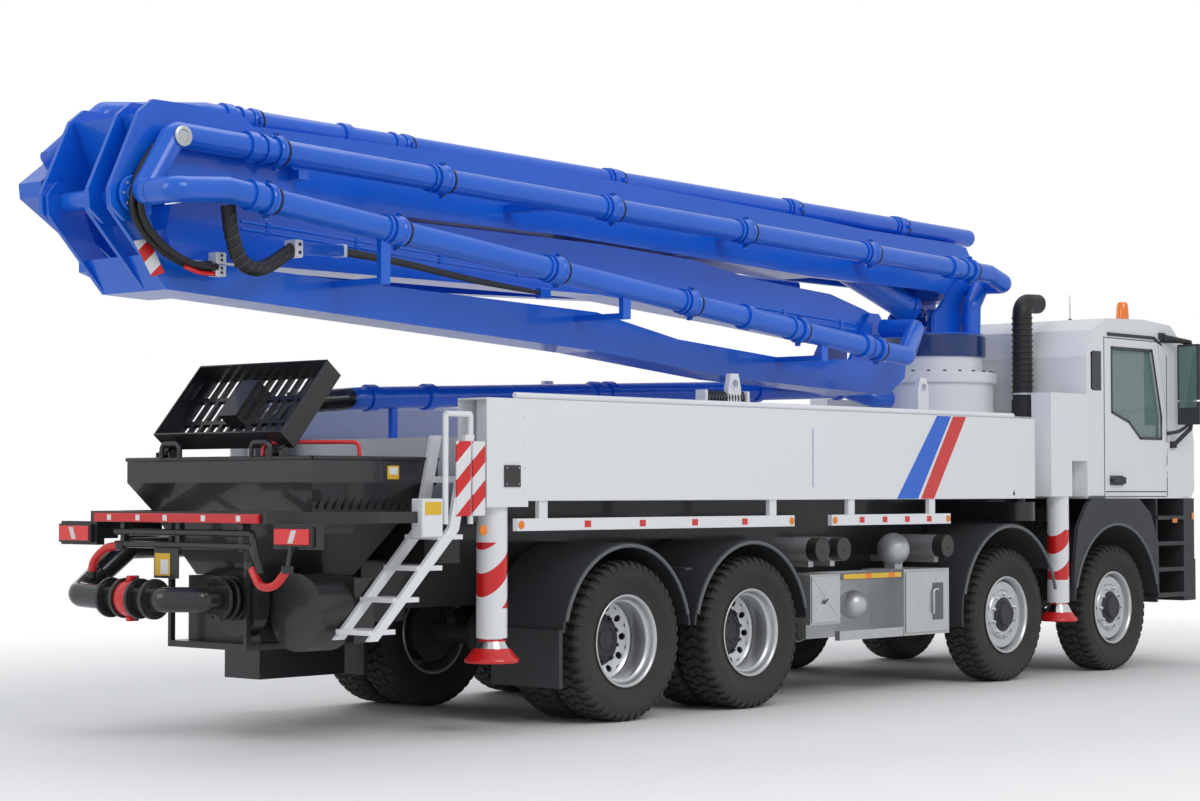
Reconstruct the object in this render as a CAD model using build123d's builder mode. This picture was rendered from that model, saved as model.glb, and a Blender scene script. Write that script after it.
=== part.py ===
"""Concrete pump truck: four-axle chassis, six-section folding boom, outriggers, hopper and pump.

Millimetres. +X is forward, +Y is the driver's left, +Z is up. The origin lies on the ground,
under the middle of the parked machine.
"""
from build123d import *
import os

os.makedirs("parts", exist_ok=True)

# ---------------------------------------------------------------- driving dimensions
AXLE_1_X = 4500.0
AXLE_SPACING = (1700.0, 3400.0, 1350.0)
TYRE_RADIUS = 540.0
TYRE_WIDTH = 315.0
RIM_RADIUS = 290.0
RIM_WALL = 9.0
FRONT_TYRE_Y = 1062.0
TWIN_Y = 917.0
TWIN_PITCH = 350.0
KINGPIN_Y = 955.0
KINGPIN_RADIUS = 24.0
SPINDLE_RADIUS = 42.0
FENDER_GAP = 62.0

RAIL_OUTER_Y = 425.0
RAIL_BOTTOM = 780.0
RAIL_TOP = 1080.0
RAIL_FLANGE = 90.0
RAIL_WALL = 10.0
RAIL_REAR_X = -3250.0
RAIL_FRONT_X = 5350.0

CAB_REAR_X = 4050.0
CAB_FRONT_X = 5930.0
CAB_HALF_WIDTH = 1210.0
CAB_FLOOR = 1480.0
CAB_ROOF = 3060.0
CAB_WALL = 50.0
DOOR_GAP = 8.0

DECK_HALF_WIDTH = 950.0
DECK_BOTTOM = 1480.0
DECK_TOP = 1900.0
DECK_REAR_X = -3100.0
DECK_FRONT_X = 3380.0

ARM_PIVOT_X = 3120.0
ARM_OUTER_Y = 1250.0
ARM_WIDTH = 260.0
ARM_REAR_X = -3330.0
JACK_TUBE_RADIUS = 100.0
JACK_ROD_RADIUS = 76.0
JACK_FOOT_RADIUS = 165.0
FRONT_JACK_X = 3670.0
REAR_JACK_X = -3150.0

TURRET_X = 3520.0
RING_RADIUS = 440.0
COLUMN_RADIUS = 520.0
PEDESTAL_TOP = 2560.0
RING_TOP = 2700.0
BASE_TOP = 2900.0
CHEEK_Y = 205.0
CHEEK_WALL = 40.0
LUFF_PIN = (3740.0, 3330.0)
LUFF_PIN_RADIUS = 60.0
BOOM_1_HALF_WIDTH = 200.0
BARREL_PIN = (1780.0, 3540.0)
ROD_PIN = (3400.0, 3040.0)
BARREL_RADIUS = 120.0
ROD_RADIUS = 62.0

KNUCKLE_12 = (-5550.0, 3290.0)
KNUCKLE_23 = (2310.0, 2886.0)
KNUCKLE_34 = (-4930.0, 3080.0)
KNUCKLE_45 = (4380.0, 3650.0)
KNUCKLE_56 = (-4750.0, 3020.0)
PIPE_RADIUS = 78.0
COUPLING_RADIUS = 94.0

RUN_GAP = 0.3
PIN_GAP = 0.5

# the parked machine reaches from the boom's rear hook to the bumper
HOOK_REACH = 160.0
BUMPER_REACH = 10.0
LENGTH_MIDDLE_X = (KNUCKLE_12[0] - HOOK_REACH + CAB_FRONT_X + BUMPER_REACH) / 2

# the x of each axle, front to rear
AXLE_X = [AXLE_1_X]
for spacing in AXLE_SPACING:
    AXLE_X.append(AXLE_X[-1] - spacing)

SIDES = (("right", -1), ("left", 1))


# ---------------------------------------------------------------- helpers
def side_plane(y):
    """A plane at that y whose sketch axes are +X and +Z."""
    return Plane(origin=(0, y, 0), x_dir=(1, 0, 0), z_dir=(0, -1, 0))


def cross_plane(x):
    """A plane at that x whose sketch axes are +Y and +Z."""
    return Plane(origin=(x, 0, 0), x_dir=(0, 1, 0), z_dir=(1, 0, 0))


def level_plane(z):
    """A plane at that height whose sketch axes are +X and +Y."""
    return Plane.XY.offset(z)


def outline(plane, points):
    """The closed straight-sided outline through the points."""
    with BuildSketch(plane, mode=Mode.PRIVATE) as sketch:
        with BuildLine():
            Polyline(*points, close=True)
        make_face()
    return sketch.sketch


def slab(points, y_from, y_to, mode=Mode.ADD):
    """A plate whose outline is drawn from the side, between two y."""
    extrude(outline(side_plane(y_to), points), amount=y_to - y_from, mode=mode)


def block(x, y, z, mode=Mode.ADD):
    """A box given by its (low, high) in x, y and z."""
    with Locations(((x[0] + x[1]) / 2, (y[0] + y[1]) / 2, (z[0] + z[1]) / 2)):
        Box(x[1] - x[0], y[1] - y[0], z[1] - z[0], mode=mode)


def rod(start, end, radius, mode=Mode.ADD):
    """A round bar from start to end."""
    run = Vector(*end) - Vector(*start)
    with Locations(Plane(origin=start, z_dir=run).location):
        Cylinder(radius, run.length, align=(Align.CENTER, Align.CENTER, Align.MIN), mode=mode)


def cross_bar(pin, y_from, y_to, radius, mode=Mode.ADD):
    """A round bar across the machine at pin = (x, z)."""
    rod((pin[0], y_from, pin[1]), (pin[0], y_to, pin[1]), radius, mode)


def both(low, high, side):
    """(low, high) of a span that is mirrored to the given side."""
    return tuple(sorted((low * side, high * side)))


def tube_run(points, bends, radius):
    """A round pipe along straight runs joined by arcs."""
    with BuildLine(mode=Mode.PRIVATE) as route:
        FilletPolyline(*points, radius=bends)
    start = Plane(origin=points[0], z_dir=Vector(*points[1]) - Vector(*points[0]))
    with BuildSketch(start, mode=Mode.PRIVATE) as section:
        Circle(radius)
    sweep(section.sketch, path=route.wire())


def couplings(start, end, spots, radius=COUPLING_RADIUS, length=70.0):
    """Clamp rings on a straight pipe run, at the given shares of its length."""
    run = Vector(*end) - Vector(*start)
    for share in spots:
        middle = Vector(*start) + run * share
        half = run.normalized() * (length / 2)
        rod(tuple(middle - half), tuple(middle + half), radius)


def save(piece, label):
    centred = piece.part.moved(Location((-LENGTH_MIDDLE_X, 0, 0)))
    centred.label = label
    export_step(centred, f"parts/{label}.step")


# ---------------------------------------------------------------- chassis frame
with BuildPart() as frame_rails:
    for _, side in SIDES:
        block((RAIL_REAR_X, RAIL_FRONT_X), both(RAIL_OUTER_Y - RAIL_WALL, RAIL_OUTER_Y, side),
              (RAIL_BOTTOM, RAIL_TOP))
        for low in (RAIL_BOTTOM, RAIL_TOP - RAIL_WALL):
            block((RAIL_REAR_X, RAIL_FRONT_X), both(RAIL_OUTER_Y - RAIL_FLANGE, RAIL_OUTER_Y, side),
                  (low, low + RAIL_WALL))
    for cross_x in (5250, 3880, 2100, 700, -1275):
        block((cross_x - 45, cross_x + 45), (-RAIL_OUTER_Y + RAIL_WALL, RAIL_OUTER_Y - RAIL_WALL),
              (RAIL_BOTTOM + 60, RAIL_TOP - 60))
save(frame_rails, "frame_rails")

# ---------------------------------------------------------------- steered axles, with their leaf springs
SPRING_Y = (RAIL_OUTER_Y - 75, RAIL_OUTER_Y + 5)
EYE_HALF_HEIGHT = 55.0
with BuildPart() as front_axles:
    for x in AXLE_X[:2]:
        drop = [(-KINGPIN_Y, 595), (-KINGPIN_Y, 485), (-760, 485), (-640, 400), (640, 400),
                (760, 485), (KINGPIN_Y, 485), (KINGPIN_Y, 595), (740, 595), (620, 510),
                (-620, 510), (-740, 595)]
        extrude(outline(cross_plane(x - 45), drop), amount=90)
        for _, side in SIDES:
            rod((x, side * KINGPIN_Y, 540 - EYE_HALF_HEIGHT), (x, side * KINGPIN_Y, 540 + EYE_HALF_HEIGHT),
                58)
            leaf = [(x - 640, 770), (x - 640, 700), (x - 350, 590), (x - 120, 505), (x + 120, 505),
                    (x + 350, 590), (x + 640, 700), (x + 640, 770), (x + 560, 770), (x + 340, 660),
                    (x + 100, 590), (x - 100, 590), (x - 340, 660), (x - 560, 770)]
            slab(leaf, *both(*SPRING_Y, side))
            for end in (-600, 600):
                block((x + end - 40, x + end + 40), both(*SPRING_Y, side),
                      (760, RAIL_BOTTOM - RUN_GAP))
            rod((x, side * KINGPIN_Y, 400), (x, side * KINGPIN_Y, 700), KINGPIN_RADIUS + PIN_GAP,
                Mode.SUBTRACT)
save(front_axles, "front_axles")

# ---------------------------------------------------------------- driven axles
REAR_HUB_RADIUS = 46.0
with BuildPart() as rear_axles:
    for x in AXLE_X[2:]:
        rod((x, -560, 540), (x, 560, 540), 78)
        with Locations((x, 0, 540)):
            Sphere(215)
        rod((x + 150, 60, 545), (x + 330, 60, 560), 70)
        rod((x, -(TWIN_Y + 60), 540), (x, TWIN_Y + 60, 540), REAR_HUB_RADIUS)
        for _, side in SIDES:
            block((x - 60, x + 60), both(*SPRING_Y, side), (600, 650))
save(rear_axles, "rear_axles")

BOGIE_X = (AXLE_X[2] + AXLE_X[3]) / 2
BOGIE_HALF = (AXLE_X[2] - AXLE_X[3]) / 2
with BuildPart() as bogie_springs:
    for _, side in SIDES:
        half = BOGIE_HALF + 80
        pack = [(BOGIE_X - half, 650 + RUN_GAP), (BOGIE_X - half, 685), (BOGIE_X - 260, 765),
                (BOGIE_X - 120, RAIL_BOTTOM - RUN_GAP), (BOGIE_X + 120, RAIL_BOTTOM - RUN_GAP),
                (BOGIE_X + 260, 765), (BOGIE_X + half, 685), (BOGIE_X + half, 650 + RUN_GAP),
                (BOGIE_X + half - 170, 650 + RUN_GAP), (BOGIE_X + 180, 690), (BOGIE_X - 180, 690),
                (BOGIE_X - half + 170, 650 + RUN_GAP)]
        slab(pack, *both(*SPRING_Y, side))
save(bogie_springs, "bogie_springs")

# ---------------------------------------------------------------- steering knuckles
for row, x in enumerate(AXLE_X[:2]):
    for name, side in SIDES:
        with BuildPart() as knuckle:
            rod((x, side * KINGPIN_Y, 425), (x, side * KINGPIN_Y, 655), KINGPIN_RADIUS)
            for low in (425, 540 + EYE_HALF_HEIGHT + 5):
                block((x - 50, x + 50), both(KINGPIN_Y - 45, KINGPIN_Y + 85, side), (low, low + 55))
            block((x - 50, x + 50), both(KINGPIN_Y + 65, KINGPIN_Y + 85, side), (425, 655))
            rod((x, side * (KINGPIN_Y + 80), 540), (x, side * (KINGPIN_Y + 190), 540), SPINDLE_RADIUS)
        save(knuckle, f"knuckle_{row + 1}_{name}")


# ---------------------------------------------------------------- wheels
def wheel_plane(x, y, side):
    """A plane through the wheel's axle: +X of the sketch points away from the truck, +Y up."""
    return Plane(origin=(x, y, TYRE_RADIUS), x_dir=(0, side, 0), z_dir=(side, 0, 0))


def tyre_section(plane, offset):
    """Half section of one tyre, its middle at offset along the axle."""
    crown = TYRE_RADIUS
    half = TYRE_WIDTH / 2
    with BuildSketch(plane, mode=Mode.PRIVATE) as section:
        with BuildLine():
            Polyline((offset - 112, RIM_RADIUS), (offset + 112, RIM_RADIUS), (offset + 116, RIM_RADIUS + 34))
            ThreePointArc((offset + 116, RIM_RADIUS + 34), (offset + half, crown - 125),
                          (offset + half - 16, crown - 34))
            Polyline((offset + half - 16, crown - 34), (offset + half - 40, crown),
                     (offset - half + 40, crown), (offset - half + 16, crown - 34))
            ThreePointArc((offset - half + 16, crown - 34), (offset - half, crown - 125),
                          (offset - 116, RIM_RADIUS + 34))
            Line((offset - 116, RIM_RADIUS + 34), (offset - 112, RIM_RADIUS))
        make_face()
    return section.sketch


def barrel_outline(offset):
    """Corner points (along the axle, radius) of one rim barrel with its two flanges."""
    seat = RIM_RADIUS - RUN_GAP
    inner = seat - RIM_WALL
    lip = RIM_RADIUS + 22
    return [(offset - 130, inner), (offset + 130, inner), (offset + 130, lip), (offset + 120, lip),
            (offset + 118, seat), (offset - 118, seat), (offset - 120, lip), (offset - 130, lip)]


VENT_COUNT = 10
for row, x in enumerate(AXLE_X[:2]):
    for name, side in SIDES:
        y = side * FRONT_TYRE_Y
        plane = wheel_plane(x, y, side)
        axle = Axis((x, y, TYRE_RADIUS), (0, side, 0))
        with BuildPart() as wheel:
            revolve(tyre_section(plane, 0), axis=axle)
            with BuildPart(mode=Mode.PRIVATE) as rim:
                revolve(outline(plane, barrel_outline(0)), axis=axle)
                disc = [(20, 284), (34, 284), (92, 214), (106, 132), (106, 126), (132, 126), (132, 88),
                        (150, 80), (150, 0), (96, 0), (96, SPINDLE_RADIUS + PIN_GAP),
                        (62, SPINDLE_RADIUS + PIN_GAP), (62, 118), (94, 132), (80, 206), (20, 272)]
                revolve(outline(plane, disc), axis=axle)
                with Locations(Plane(origin=(x, y, TYRE_RADIUS), z_dir=(0, side, 0)).location):
                    with PolarLocations(176, VENT_COUNT):
                        Cylinder(29, 400, mode=Mode.SUBTRACT)
            add(rim.part)
        save(wheel, f"front_wheel_{row + 1}_{name}")

for row, x in enumerate(AXLE_X[2:]):
    for name, side in SIDES:
        y = side * TWIN_Y
        plane = wheel_plane(x, y, side)
        axle = Axis((x, y, TYRE_RADIUS), (0, side, 0))
        bore = REAR_HUB_RADIUS + PIN_GAP
        with BuildPart() as wheel:
            for tyre_offset in (-TWIN_PITCH / 2, TWIN_PITCH / 2):
                revolve(tyre_section(plane, tyre_offset), axis=axle)
            with BuildPart(mode=Mode.PRIVATE) as rims:
                for tyre_offset in (-TWIN_PITCH / 2, TWIN_PITCH / 2):
                    revolve(outline(plane, barrel_outline(tyre_offset)), axis=axle)
                dish = [(-62, 284), (-76, 284), (-46, 214), (-12, 196), (-12, 168), (-110, 160),
                        (-150, 150), (-150, bore), (70, bore), (70, 0), (118, 0), (118, 86), (96, 120),
                        (96, 140), (12, 150), (12, 196), (46, 214), (76, 284), (62, 284), (40, 226),
                        (-40, 226)]
                revolve(outline(plane, dish), axis=axle)
                with Locations(Plane(origin=(x, y, TYRE_RADIUS), z_dir=(0, side, 0)).location):
                    with PolarLocations(174, VENT_COUNT):
                        Cylinder(13, 60, mode=Mode.SUBTRACT)
            add(rims.part)
        save(wheel, f"twin_wheel_{row + 3}_{name}")

# ---------------------------------------------------------------- engine, as one plain block
with BuildPart() as engine_block:
    block((4200, 5200), (-345, 345), (RAIL_TOP + RUN_GAP, 1400))
    block((4250, 5190), (-230, 230), (640, RAIL_TOP + 5))
    rod((3940, 0, 900), (4250, 0, 900), 150)
save(engine_block, "engine_block")

# ---------------------------------------------------------------- cab
CAB_GLASS_GAP = 12.0
SILL = 1990.0
DOOR_REAR_X = 4350.0
DOOR_FRONT_X = 5430.0
DOOR_BOTTOM = 1500.0
DOOR_TOP = 2870.0
HINGE_X = DOOR_FRONT_X - 24
HINGE_Y = CAB_HALF_WIDTH + 4
CAB_KNUCKLES = (DOOR_BOTTOM + 221, DOOR_BOTTOM + 421)
door_outline = [(DOOR_REAR_X, DOOR_BOTTOM), (DOOR_FRONT_X, DOOR_BOTTOM), (DOOR_FRONT_X, 2230),
                (DOOR_FRONT_X - 160, DOOR_TOP), (DOOR_REAR_X, DOOR_TOP)]
door_window = [(4470, 2230), (4760, 2150), (4960, 2010), (5330, 2010), (5330, 2210), (5170, 2790),
               (4470, 2790)]
cab_side = [(CAB_REAR_X, CAB_FLOOR), (CAB_FRONT_X - 60, CAB_FLOOR), (CAB_FRONT_X, 1560),
            (CAB_FRONT_X, 2000), (CAB_FRONT_X - 210, 2870), (CAB_FRONT_X - 420, CAB_ROOF - 30),
            (CAB_FRONT_X - 900, CAB_ROOF), (CAB_REAR_X + 330, CAB_ROOF - 20),
            (CAB_REAR_X + 90, CAB_ROOF - 130), (CAB_REAR_X, CAB_ROOF - 360)]


def grown(points, by, plane):
    """The outline moved out (or in, when negative) by that much, with square corners."""
    with BuildSketch(plane, mode=Mode.PRIVATE) as sketch:
        add(outline(plane, points))
        offset(amount=by, kind=Kind.INTERSECTION)
    return sketch.sketch


with BuildPart() as cab_body:
    slab(cab_side, -CAB_HALF_WIDTH, CAB_HALF_WIDTH)
    inside = grown(cab_side, -CAB_WALL, side_plane(CAB_HALF_WIDTH - CAB_WALL))
    extrude(inside, amount=2 * (CAB_HALF_WIDTH - CAB_WALL), mode=Mode.SUBTRACT)
    for _, side in SIDES:
        frame_hole = grown(door_outline, DOOR_GAP, side_plane(side * CAB_HALF_WIDTH + 100))
        extrude(frame_hole, amount=200, mode=Mode.SUBTRACT)
        block((CAB_REAR_X + 70, DOOR_REAR_X - 70), both(CAB_HALF_WIDTH - 100, CAB_HALF_WIDTH + 100, side),
              (2420, 2740), Mode.SUBTRACT)
    windscreen = [(-1080, 1990), (1080, 1990), (1010, 2800), (-1010, 2800)]
    extrude(outline(cross_plane(CAB_FRONT_X - 450), windscreen), amount=500, mode=Mode.SUBTRACT)
    for _, side in SIDES:
        for low in CAB_KNUCKLES:
            rod((HINGE_X, side * HINGE_Y, low), (HINGE_X, side * HINGE_Y, low + 60), 10)
            block((DOOR_FRONT_X - 20, DOOR_FRONT_X + 40), both(CAB_HALF_WIDTH + 1, CAB_HALF_WIDTH + 9, side),
                  (low, low + 60))
            block((DOOR_FRONT_X + 12, DOOR_FRONT_X + 40), both(CAB_HALF_WIDTH - 3, CAB_HALF_WIDTH + 9, side),
                  (low, low + 60))
save(cab_body, "cab_body")

with BuildPart() as cab_interior:
    floor_top = CAB_FLOOR + CAB_WALL + RUN_GAP
    block((4330, 5420), (-260, 260), (floor_top, floor_top + 210))
    dash = [(5330, floor_top), (5800, floor_top), (5800, 1930), (5560, 1980), (5400, 1900), (5440, 1780)]
    slab(dash, -1100, 1100)
    for _, side in SIDES:
        block((4420, 4930), both(380, 860, side), (floor_top, floor_top + 330))
        back = [(4400, floor_top + 330), (4560, floor_top + 330), (4440, 2480), (4320, 2480)]
        slab(back, *both(400, 840, side))
    with Locations(Plane(origin=(5270, 600, 1990), z_dir=(-1, 0, 1.6)).location):
        Torus(215, 16)
        Cylinder(26, 30)
        Box(420, 30, 16)
        Box(30, 420, 16)
    rod((5260, 600, 2000), (5450, 600, 1700), 28)
save(cab_interior, "cab_interior")

with BuildPart() as cab_glass:
    pane = [(-1079.6, 1990.4), (1079.6, 1990.4), (1009.6, 2799.6), (-1009.6, 2799.6)]
    rake = 210 / 870
    with BuildPart(mode=Mode.PRIVATE) as slope:
        glass_side = [(CAB_FRONT_X - 20, 1980), (CAB_FRONT_X - 28, 1980),
                      (CAB_FRONT_X - 28 - 830 * rake, 2810), (CAB_FRONT_X - 20 - 830 * rake, 2810)]
        slab(glass_side, -1100, 1100)
    extrude(outline(cross_plane(CAB_FRONT_X - 450), pane), amount=500)
    add(slope.part, mode=Mode.INTERSECT)
    for _, side in SIDES:
        block((CAB_REAR_X + 70 + RUN_GAP, DOOR_REAR_X - 70 - RUN_GAP),
              both(CAB_HALF_WIDTH - 30, CAB_HALF_WIDTH - 22, side), (2420 + RUN_GAP, 2740 - RUN_GAP))
save(cab_glass, "cab_glass")

for name, side in SIDES:
    with BuildPart() as door:
        slab(door_outline, *both(CAB_HALF_WIDTH - CAB_WALL, CAB_HALF_WIDTH, side))
        slab(door_window, *both(CAB_HALF_WIDTH - 100, CAB_HALF_WIDTH + 100, side), Mode.SUBTRACT)
        block((4440, 4640), both(CAB_HALF_WIDTH - 1, CAB_HALF_WIDTH + 22, side), (1610, 1665))
        for low in CAB_KNUCKLES:
            rod((HINGE_X, side * HINGE_Y, low - 1), (HINGE_X, side * HINGE_Y, low + 61), 11, Mode.SUBTRACT)
            rod((HINGE_X, side * HINGE_Y, low - 60), (HINGE_X, side * HINGE_Y, low - RUN_GAP), 10)
    save(door, f"cab_door_{name}")
    with BuildPart() as pane:
        inset = grown(door_window, -RUN_GAP, side_plane(max(both(CAB_HALF_WIDTH - 30, CAB_HALF_WIDTH - 22, side))))
        extrude(inset, amount=8)
    save(pane, f"door_glass_{name}")

with BuildPart() as mirrors:
    for _, side in SIDES:
        for foot_x, foot_z in ((5330, 2925), (5520, 1960)):
            block((foot_x - 40, foot_x + 40), both(CAB_HALF_WIDTH + RUN_GAP, CAB_HALF_WIDTH + 30, side),
                  (foot_z - 30, foot_z + 30))
        rod((5330, side * (CAB_HALF_WIDTH + 24), 2925), (5620, side * (CAB_HALF_WIDTH + 140), 2880), 20)
        rod((5520, side * (CAB_HALF_WIDTH + 24), 1960), (5620, side * (CAB_HALF_WIDTH + 140), 2110), 20)
        rod((5620, side * (CAB_HALF_WIDTH + 140), 2110), (5620, side * (CAB_HALF_WIDTH + 140), 2880), 16)
        block((5560, 5610), both(CAB_HALF_WIDTH + 40, CAB_HALF_WIDTH + 250, side), (2360, 2860))
        block((5560, 5610), both(CAB_HALF_WIDTH + 40, CAB_HALF_WIDTH + 250, side), (2140, 2345))
        block((5595, 5625), both(CAB_HALF_WIDTH + 60, CAB_HALF_WIDTH + 160, side), (2140, 2860))
save(mirrors, "mirrors")

# ---------------------------------------------------------------- bumper, grille and steps
with BuildPart() as front_bumper:
    block((CAB_FRONT_X - 230, CAB_FRONT_X + BUMPER_REACH), (-1210, 1210), (560, 930))
    block((CAB_FRONT_X - 110, CAB_FRONT_X - 10), (-1210, 1210), (925, CAB_FLOOR - RUN_GAP))
    block((5350, 5700), (-RAIL_OUTER_Y - 20, RAIL_OUTER_Y + 20), (RAIL_TOP + RUN_GAP, 1160))
    block((5350, 5900), (-700, 700), (1160, 1180))
    for _, side in SIDES:
        block((5235, 5900), both(1180, 1225, side), (600, 640))
        for low in (600, 830, 1060, 1290):
            block((5235, 5720), both(900, 1225, side), (low, low + 35))
        block((5225, 5250), both(900, 1210, side), (560, CAB_FLOOR - RUN_GAP))
        block((5700, 5830), both(900, 1225, side), (560, CAB_FLOOR - RUN_GAP))
        block((5690, 5830), both(560, 900, side), (935, 1180))
save(front_bumper, "front_bumper")

# ---------------------------------------------------------------- fenders
ARCH_RADIUS = 700.0


def arch(x, z, radius, wall, low_front, low_rear, y_low, y_high):
    """A wheel arch: a round sheet about (x, z), cut off below the two heights."""
    cross_bar((x, z), y_low, y_high, radius + wall)
    cross_bar((x, z), y_low, y_high, radius, Mode.SUBTRACT)
    block((x - radius - wall - 1, x), (y_low - 1, y_high + 1), (z - radius - wall - 1, low_rear),
          Mode.SUBTRACT)
    block((x, x + radius + wall + 1), (y_low - 1, y_high + 1), (z - radius - wall - 1, low_front),
          Mode.SUBTRACT)


with BuildPart() as fenders:
    for _, side in SIDES:
        with BuildPart(mode=Mode.PRIVATE) as front_arch:
            arch(AXLE_X[0], 560, ARCH_RADIUS, 25, 640, 620, *both(620, 1235, side))
        add(front_arch.part)
        flare = [(3790, 900), (3850, 1240), (4010, 1440), (4100, CAB_FLOOR - RUN_GAP),
                 (4880, CAB_FLOOR - RUN_GAP), (5080, 1350), (5215, 1100), (5222, 640), (5150, 640), (4500, 560),
                 (3850, 620), (3790, 620)]
        with BuildPart(mode=Mode.PRIVATE) as flare_plate:
            slab(flare, *both(1205, 1240, side))
            cross_bar((AXLE_X[0], 560), *both(1190, 1260, side), ARCH_RADIUS, Mode.SUBTRACT)
            block((3700, 5300), both(1190, 1260, side), (500, 620), Mode.SUBTRACT)
        add(flare_plate.part)
        with BuildPart(mode=Mode.PRIVATE) as second_arch:
            arch(AXLE_X[1], 560, ARCH_RADIUS, 22, 900, 470, *both(620, 1235, side))
        add(second_arch.part)
        for x in AXLE_X[2:]:
            with BuildPart(mode=Mode.PRIVATE) as rear_arch:
                arch(x, 540, 640, 20, 620, 620, *both(560, 1235, side))
            add(rear_arch.part)
        block((BOGIE_X - 40, BOGIE_X + 40), both(560, 1200, side), (1000, 1015))
        for x, z in ((AXLE_X[0], 1262), (AXLE_X[1], 1262), (AXLE_X[2], 1182), (AXLE_X[3], 1182)):
            block((x - 30, x + 30), both(RAIL_OUTER_Y + RUN_GAP, 640, side), (z, z + 16))
            block((x - 30, x + 30), both(RAIL_OUTER_Y + RUN_GAP, RAIL_OUTER_Y + 20, side), (960, z + 16))
        block((AXLE_X[3] - 690, AXLE_X[3] - 655), both(620, 1235, side), (260, 640))
save(fenders, "fenders")

# ---------------------------------------------------------------- subframe, deck and tanks between the arms
HOUSING_X = (3410.0, 4020.0)
HOUSING_Z = (1500.0, 1880.0)
BEAM_Z = (1550.0, 1830.0)
BEAM_LANES = {"right": (3450.0, 3690.0), "left": (3740.0, 3980.0)}
with BuildPart() as subframe:
    for _, side in SIDES:
        block((DECK_REAR_X, HOUSING_X[1]), both(RAIL_OUTER_Y - 120, RAIL_OUTER_Y, side),
              (RAIL_TOP + RUN_GAP, DECK_BOTTOM))
    for cross_x in (-2900, -1275, 400, 2100, 3200):
        block((cross_x - 60, cross_x + 60), (-RAIL_OUTER_Y, RAIL_OUTER_Y), (RAIL_TOP + 60, DECK_BOTTOM - 40))
    for _, side in SIDES:
        block((ARM_PIVOT_X - 140, ARM_PIVOT_X + 140), both(RAIL_OUTER_Y - 5, 985, side), (1300, 1455))
        block((ARM_PIVOT_X - 140, ARM_PIVOT_X + 110), both(960, 1120, side), (1300, 1455))
        rod((ARM_PIVOT_X, side * 1120, 1300), (ARM_PIVOT_X, side * 1120, 1455), 125)
        rod((ARM_PIVOT_X, side * 1120, 1400), (ARM_PIVOT_X, side * 1120, 2120), 45)
save(subframe, "subframe")

with BuildPart() as front_housing:
    block(HOUSING_X, (-1040, 1040), HOUSING_Z)
    for lane in BEAM_LANES.values():
        block((lane[0] - 6, lane[1] + 6), (-1050, 1050), (BEAM_Z[0] - PIN_GAP, BEAM_Z[1] + 6), Mode.SUBTRACT)
    for _, side in SIDES:
        block(HOUSING_X, both(RAIL_OUTER_Y - 120, RAIL_OUTER_Y, side),
              (DECK_BOTTOM + RUN_GAP, HOUSING_Z[0] + 1))
save(front_housing, "front_housing")

with BuildPart() as deck:
    block((DECK_REAR_X, HOUSING_X[0] - 20), (-DECK_HALF_WIDTH, DECK_HALF_WIDTH),
          (DECK_BOTTOM + RUN_GAP, DECK_TOP))
    for _, side in SIDES:
        for lug_x, height in ((-430, 2400), (1990, 2450)):
            lug = [(lug_x - 75, DECK_TOP - 40), (lug_x + 75, DECK_TOP - 40), (lug_x + 75, height - 110),
                   (lug_x + 45, height), (lug_x - 45, height), (lug_x - 75, height - 110)]
            slab(lug, *both(900, 940, side))
            cross_bar((lug_x, height - 75), *both(890, 950, side), 30, Mode.SUBTRACT)
save(deck, "deck")

with BuildPart() as pedestal:
    block((3000, 3385), (-760, 760), (DECK_TOP + RUN_GAP, 2150))
    block((3100, 3980), (-820, 820), (DECK_TOP + RUN_GAP, 2180))
    rod((TURRET_X, 0, 2170), (TURRET_X, 0, PEDESTAL_TOP - 90), COLUMN_RADIUS)
    rod((TURRET_X, 0, PEDESTAL_TOP - 95), (TURRET_X, 0, PEDESTAL_TOP), RING_RADIUS + 30)
    rod((TURRET_X, 0, PEDESTAL_TOP - 5), (TURRET_X, 0, RING_TOP - RUN_GAP), RING_RADIUS - 10)
    rod((TURRET_X, 0, RING_TOP - 10), (TURRET_X, 0, RING_TOP + 40), 150)
save(pedestal, "pedestal")

# ---------------------------------------------------------------- tanks and boxes between the axles
with BuildPart() as side_tanks:
    block((130, 500), (-1200, -860), (560, 930))
    block((1330, 1950), (-1200, -800), (430, 940))
    block((500.5, 1329.5), (-1195, -1150), (430, 500))
    block((500.5, 1329.5), (-1195, -1150), (880, 930))
    block((500.5, 1329.5), (-880, -800), (430, 930))
    with Locations((1550, -950, 1090)):
        Sphere(128)
    with Locations((910, -1020, 680)):
        Sphere(110)
    block((880, 940), (-1020, -860), (660, 700))
    block((1500, 1600), (-1000, -900), (930, 980))
    block((150, 1950), (-860, -RAIL_OUTER_Y - RUN_GAP), (840, 900))
    for x in (350, 620, 2010):
        rod((x, -1060, 1110), (x, -700, 1110), 90)
        block((x - 30, x + 30), (-1040, -RAIL_OUTER_Y - RUN_GAP), (980, 1030))
    block((150, 1900), (800, 1200), (430, 1000))
    block((300, 360), (RAIL_OUTER_Y + RUN_GAP, 810), (840, 900))
    block((1500, 1560), (RAIL_OUTER_Y + RUN_GAP, 810), (840, 900))
save(side_tanks, "side_tanks")

with BuildPart() as air_intake:
    rod((3945, -640, 2180 + RUN_GAP), (3945, -640, 2330), 95)
    tube_run([(3945, -640, 2300), (3945, -640, 3170), (4200, -640, 3180)], 100, 84)
save(air_intake, "air_intake")

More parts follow.
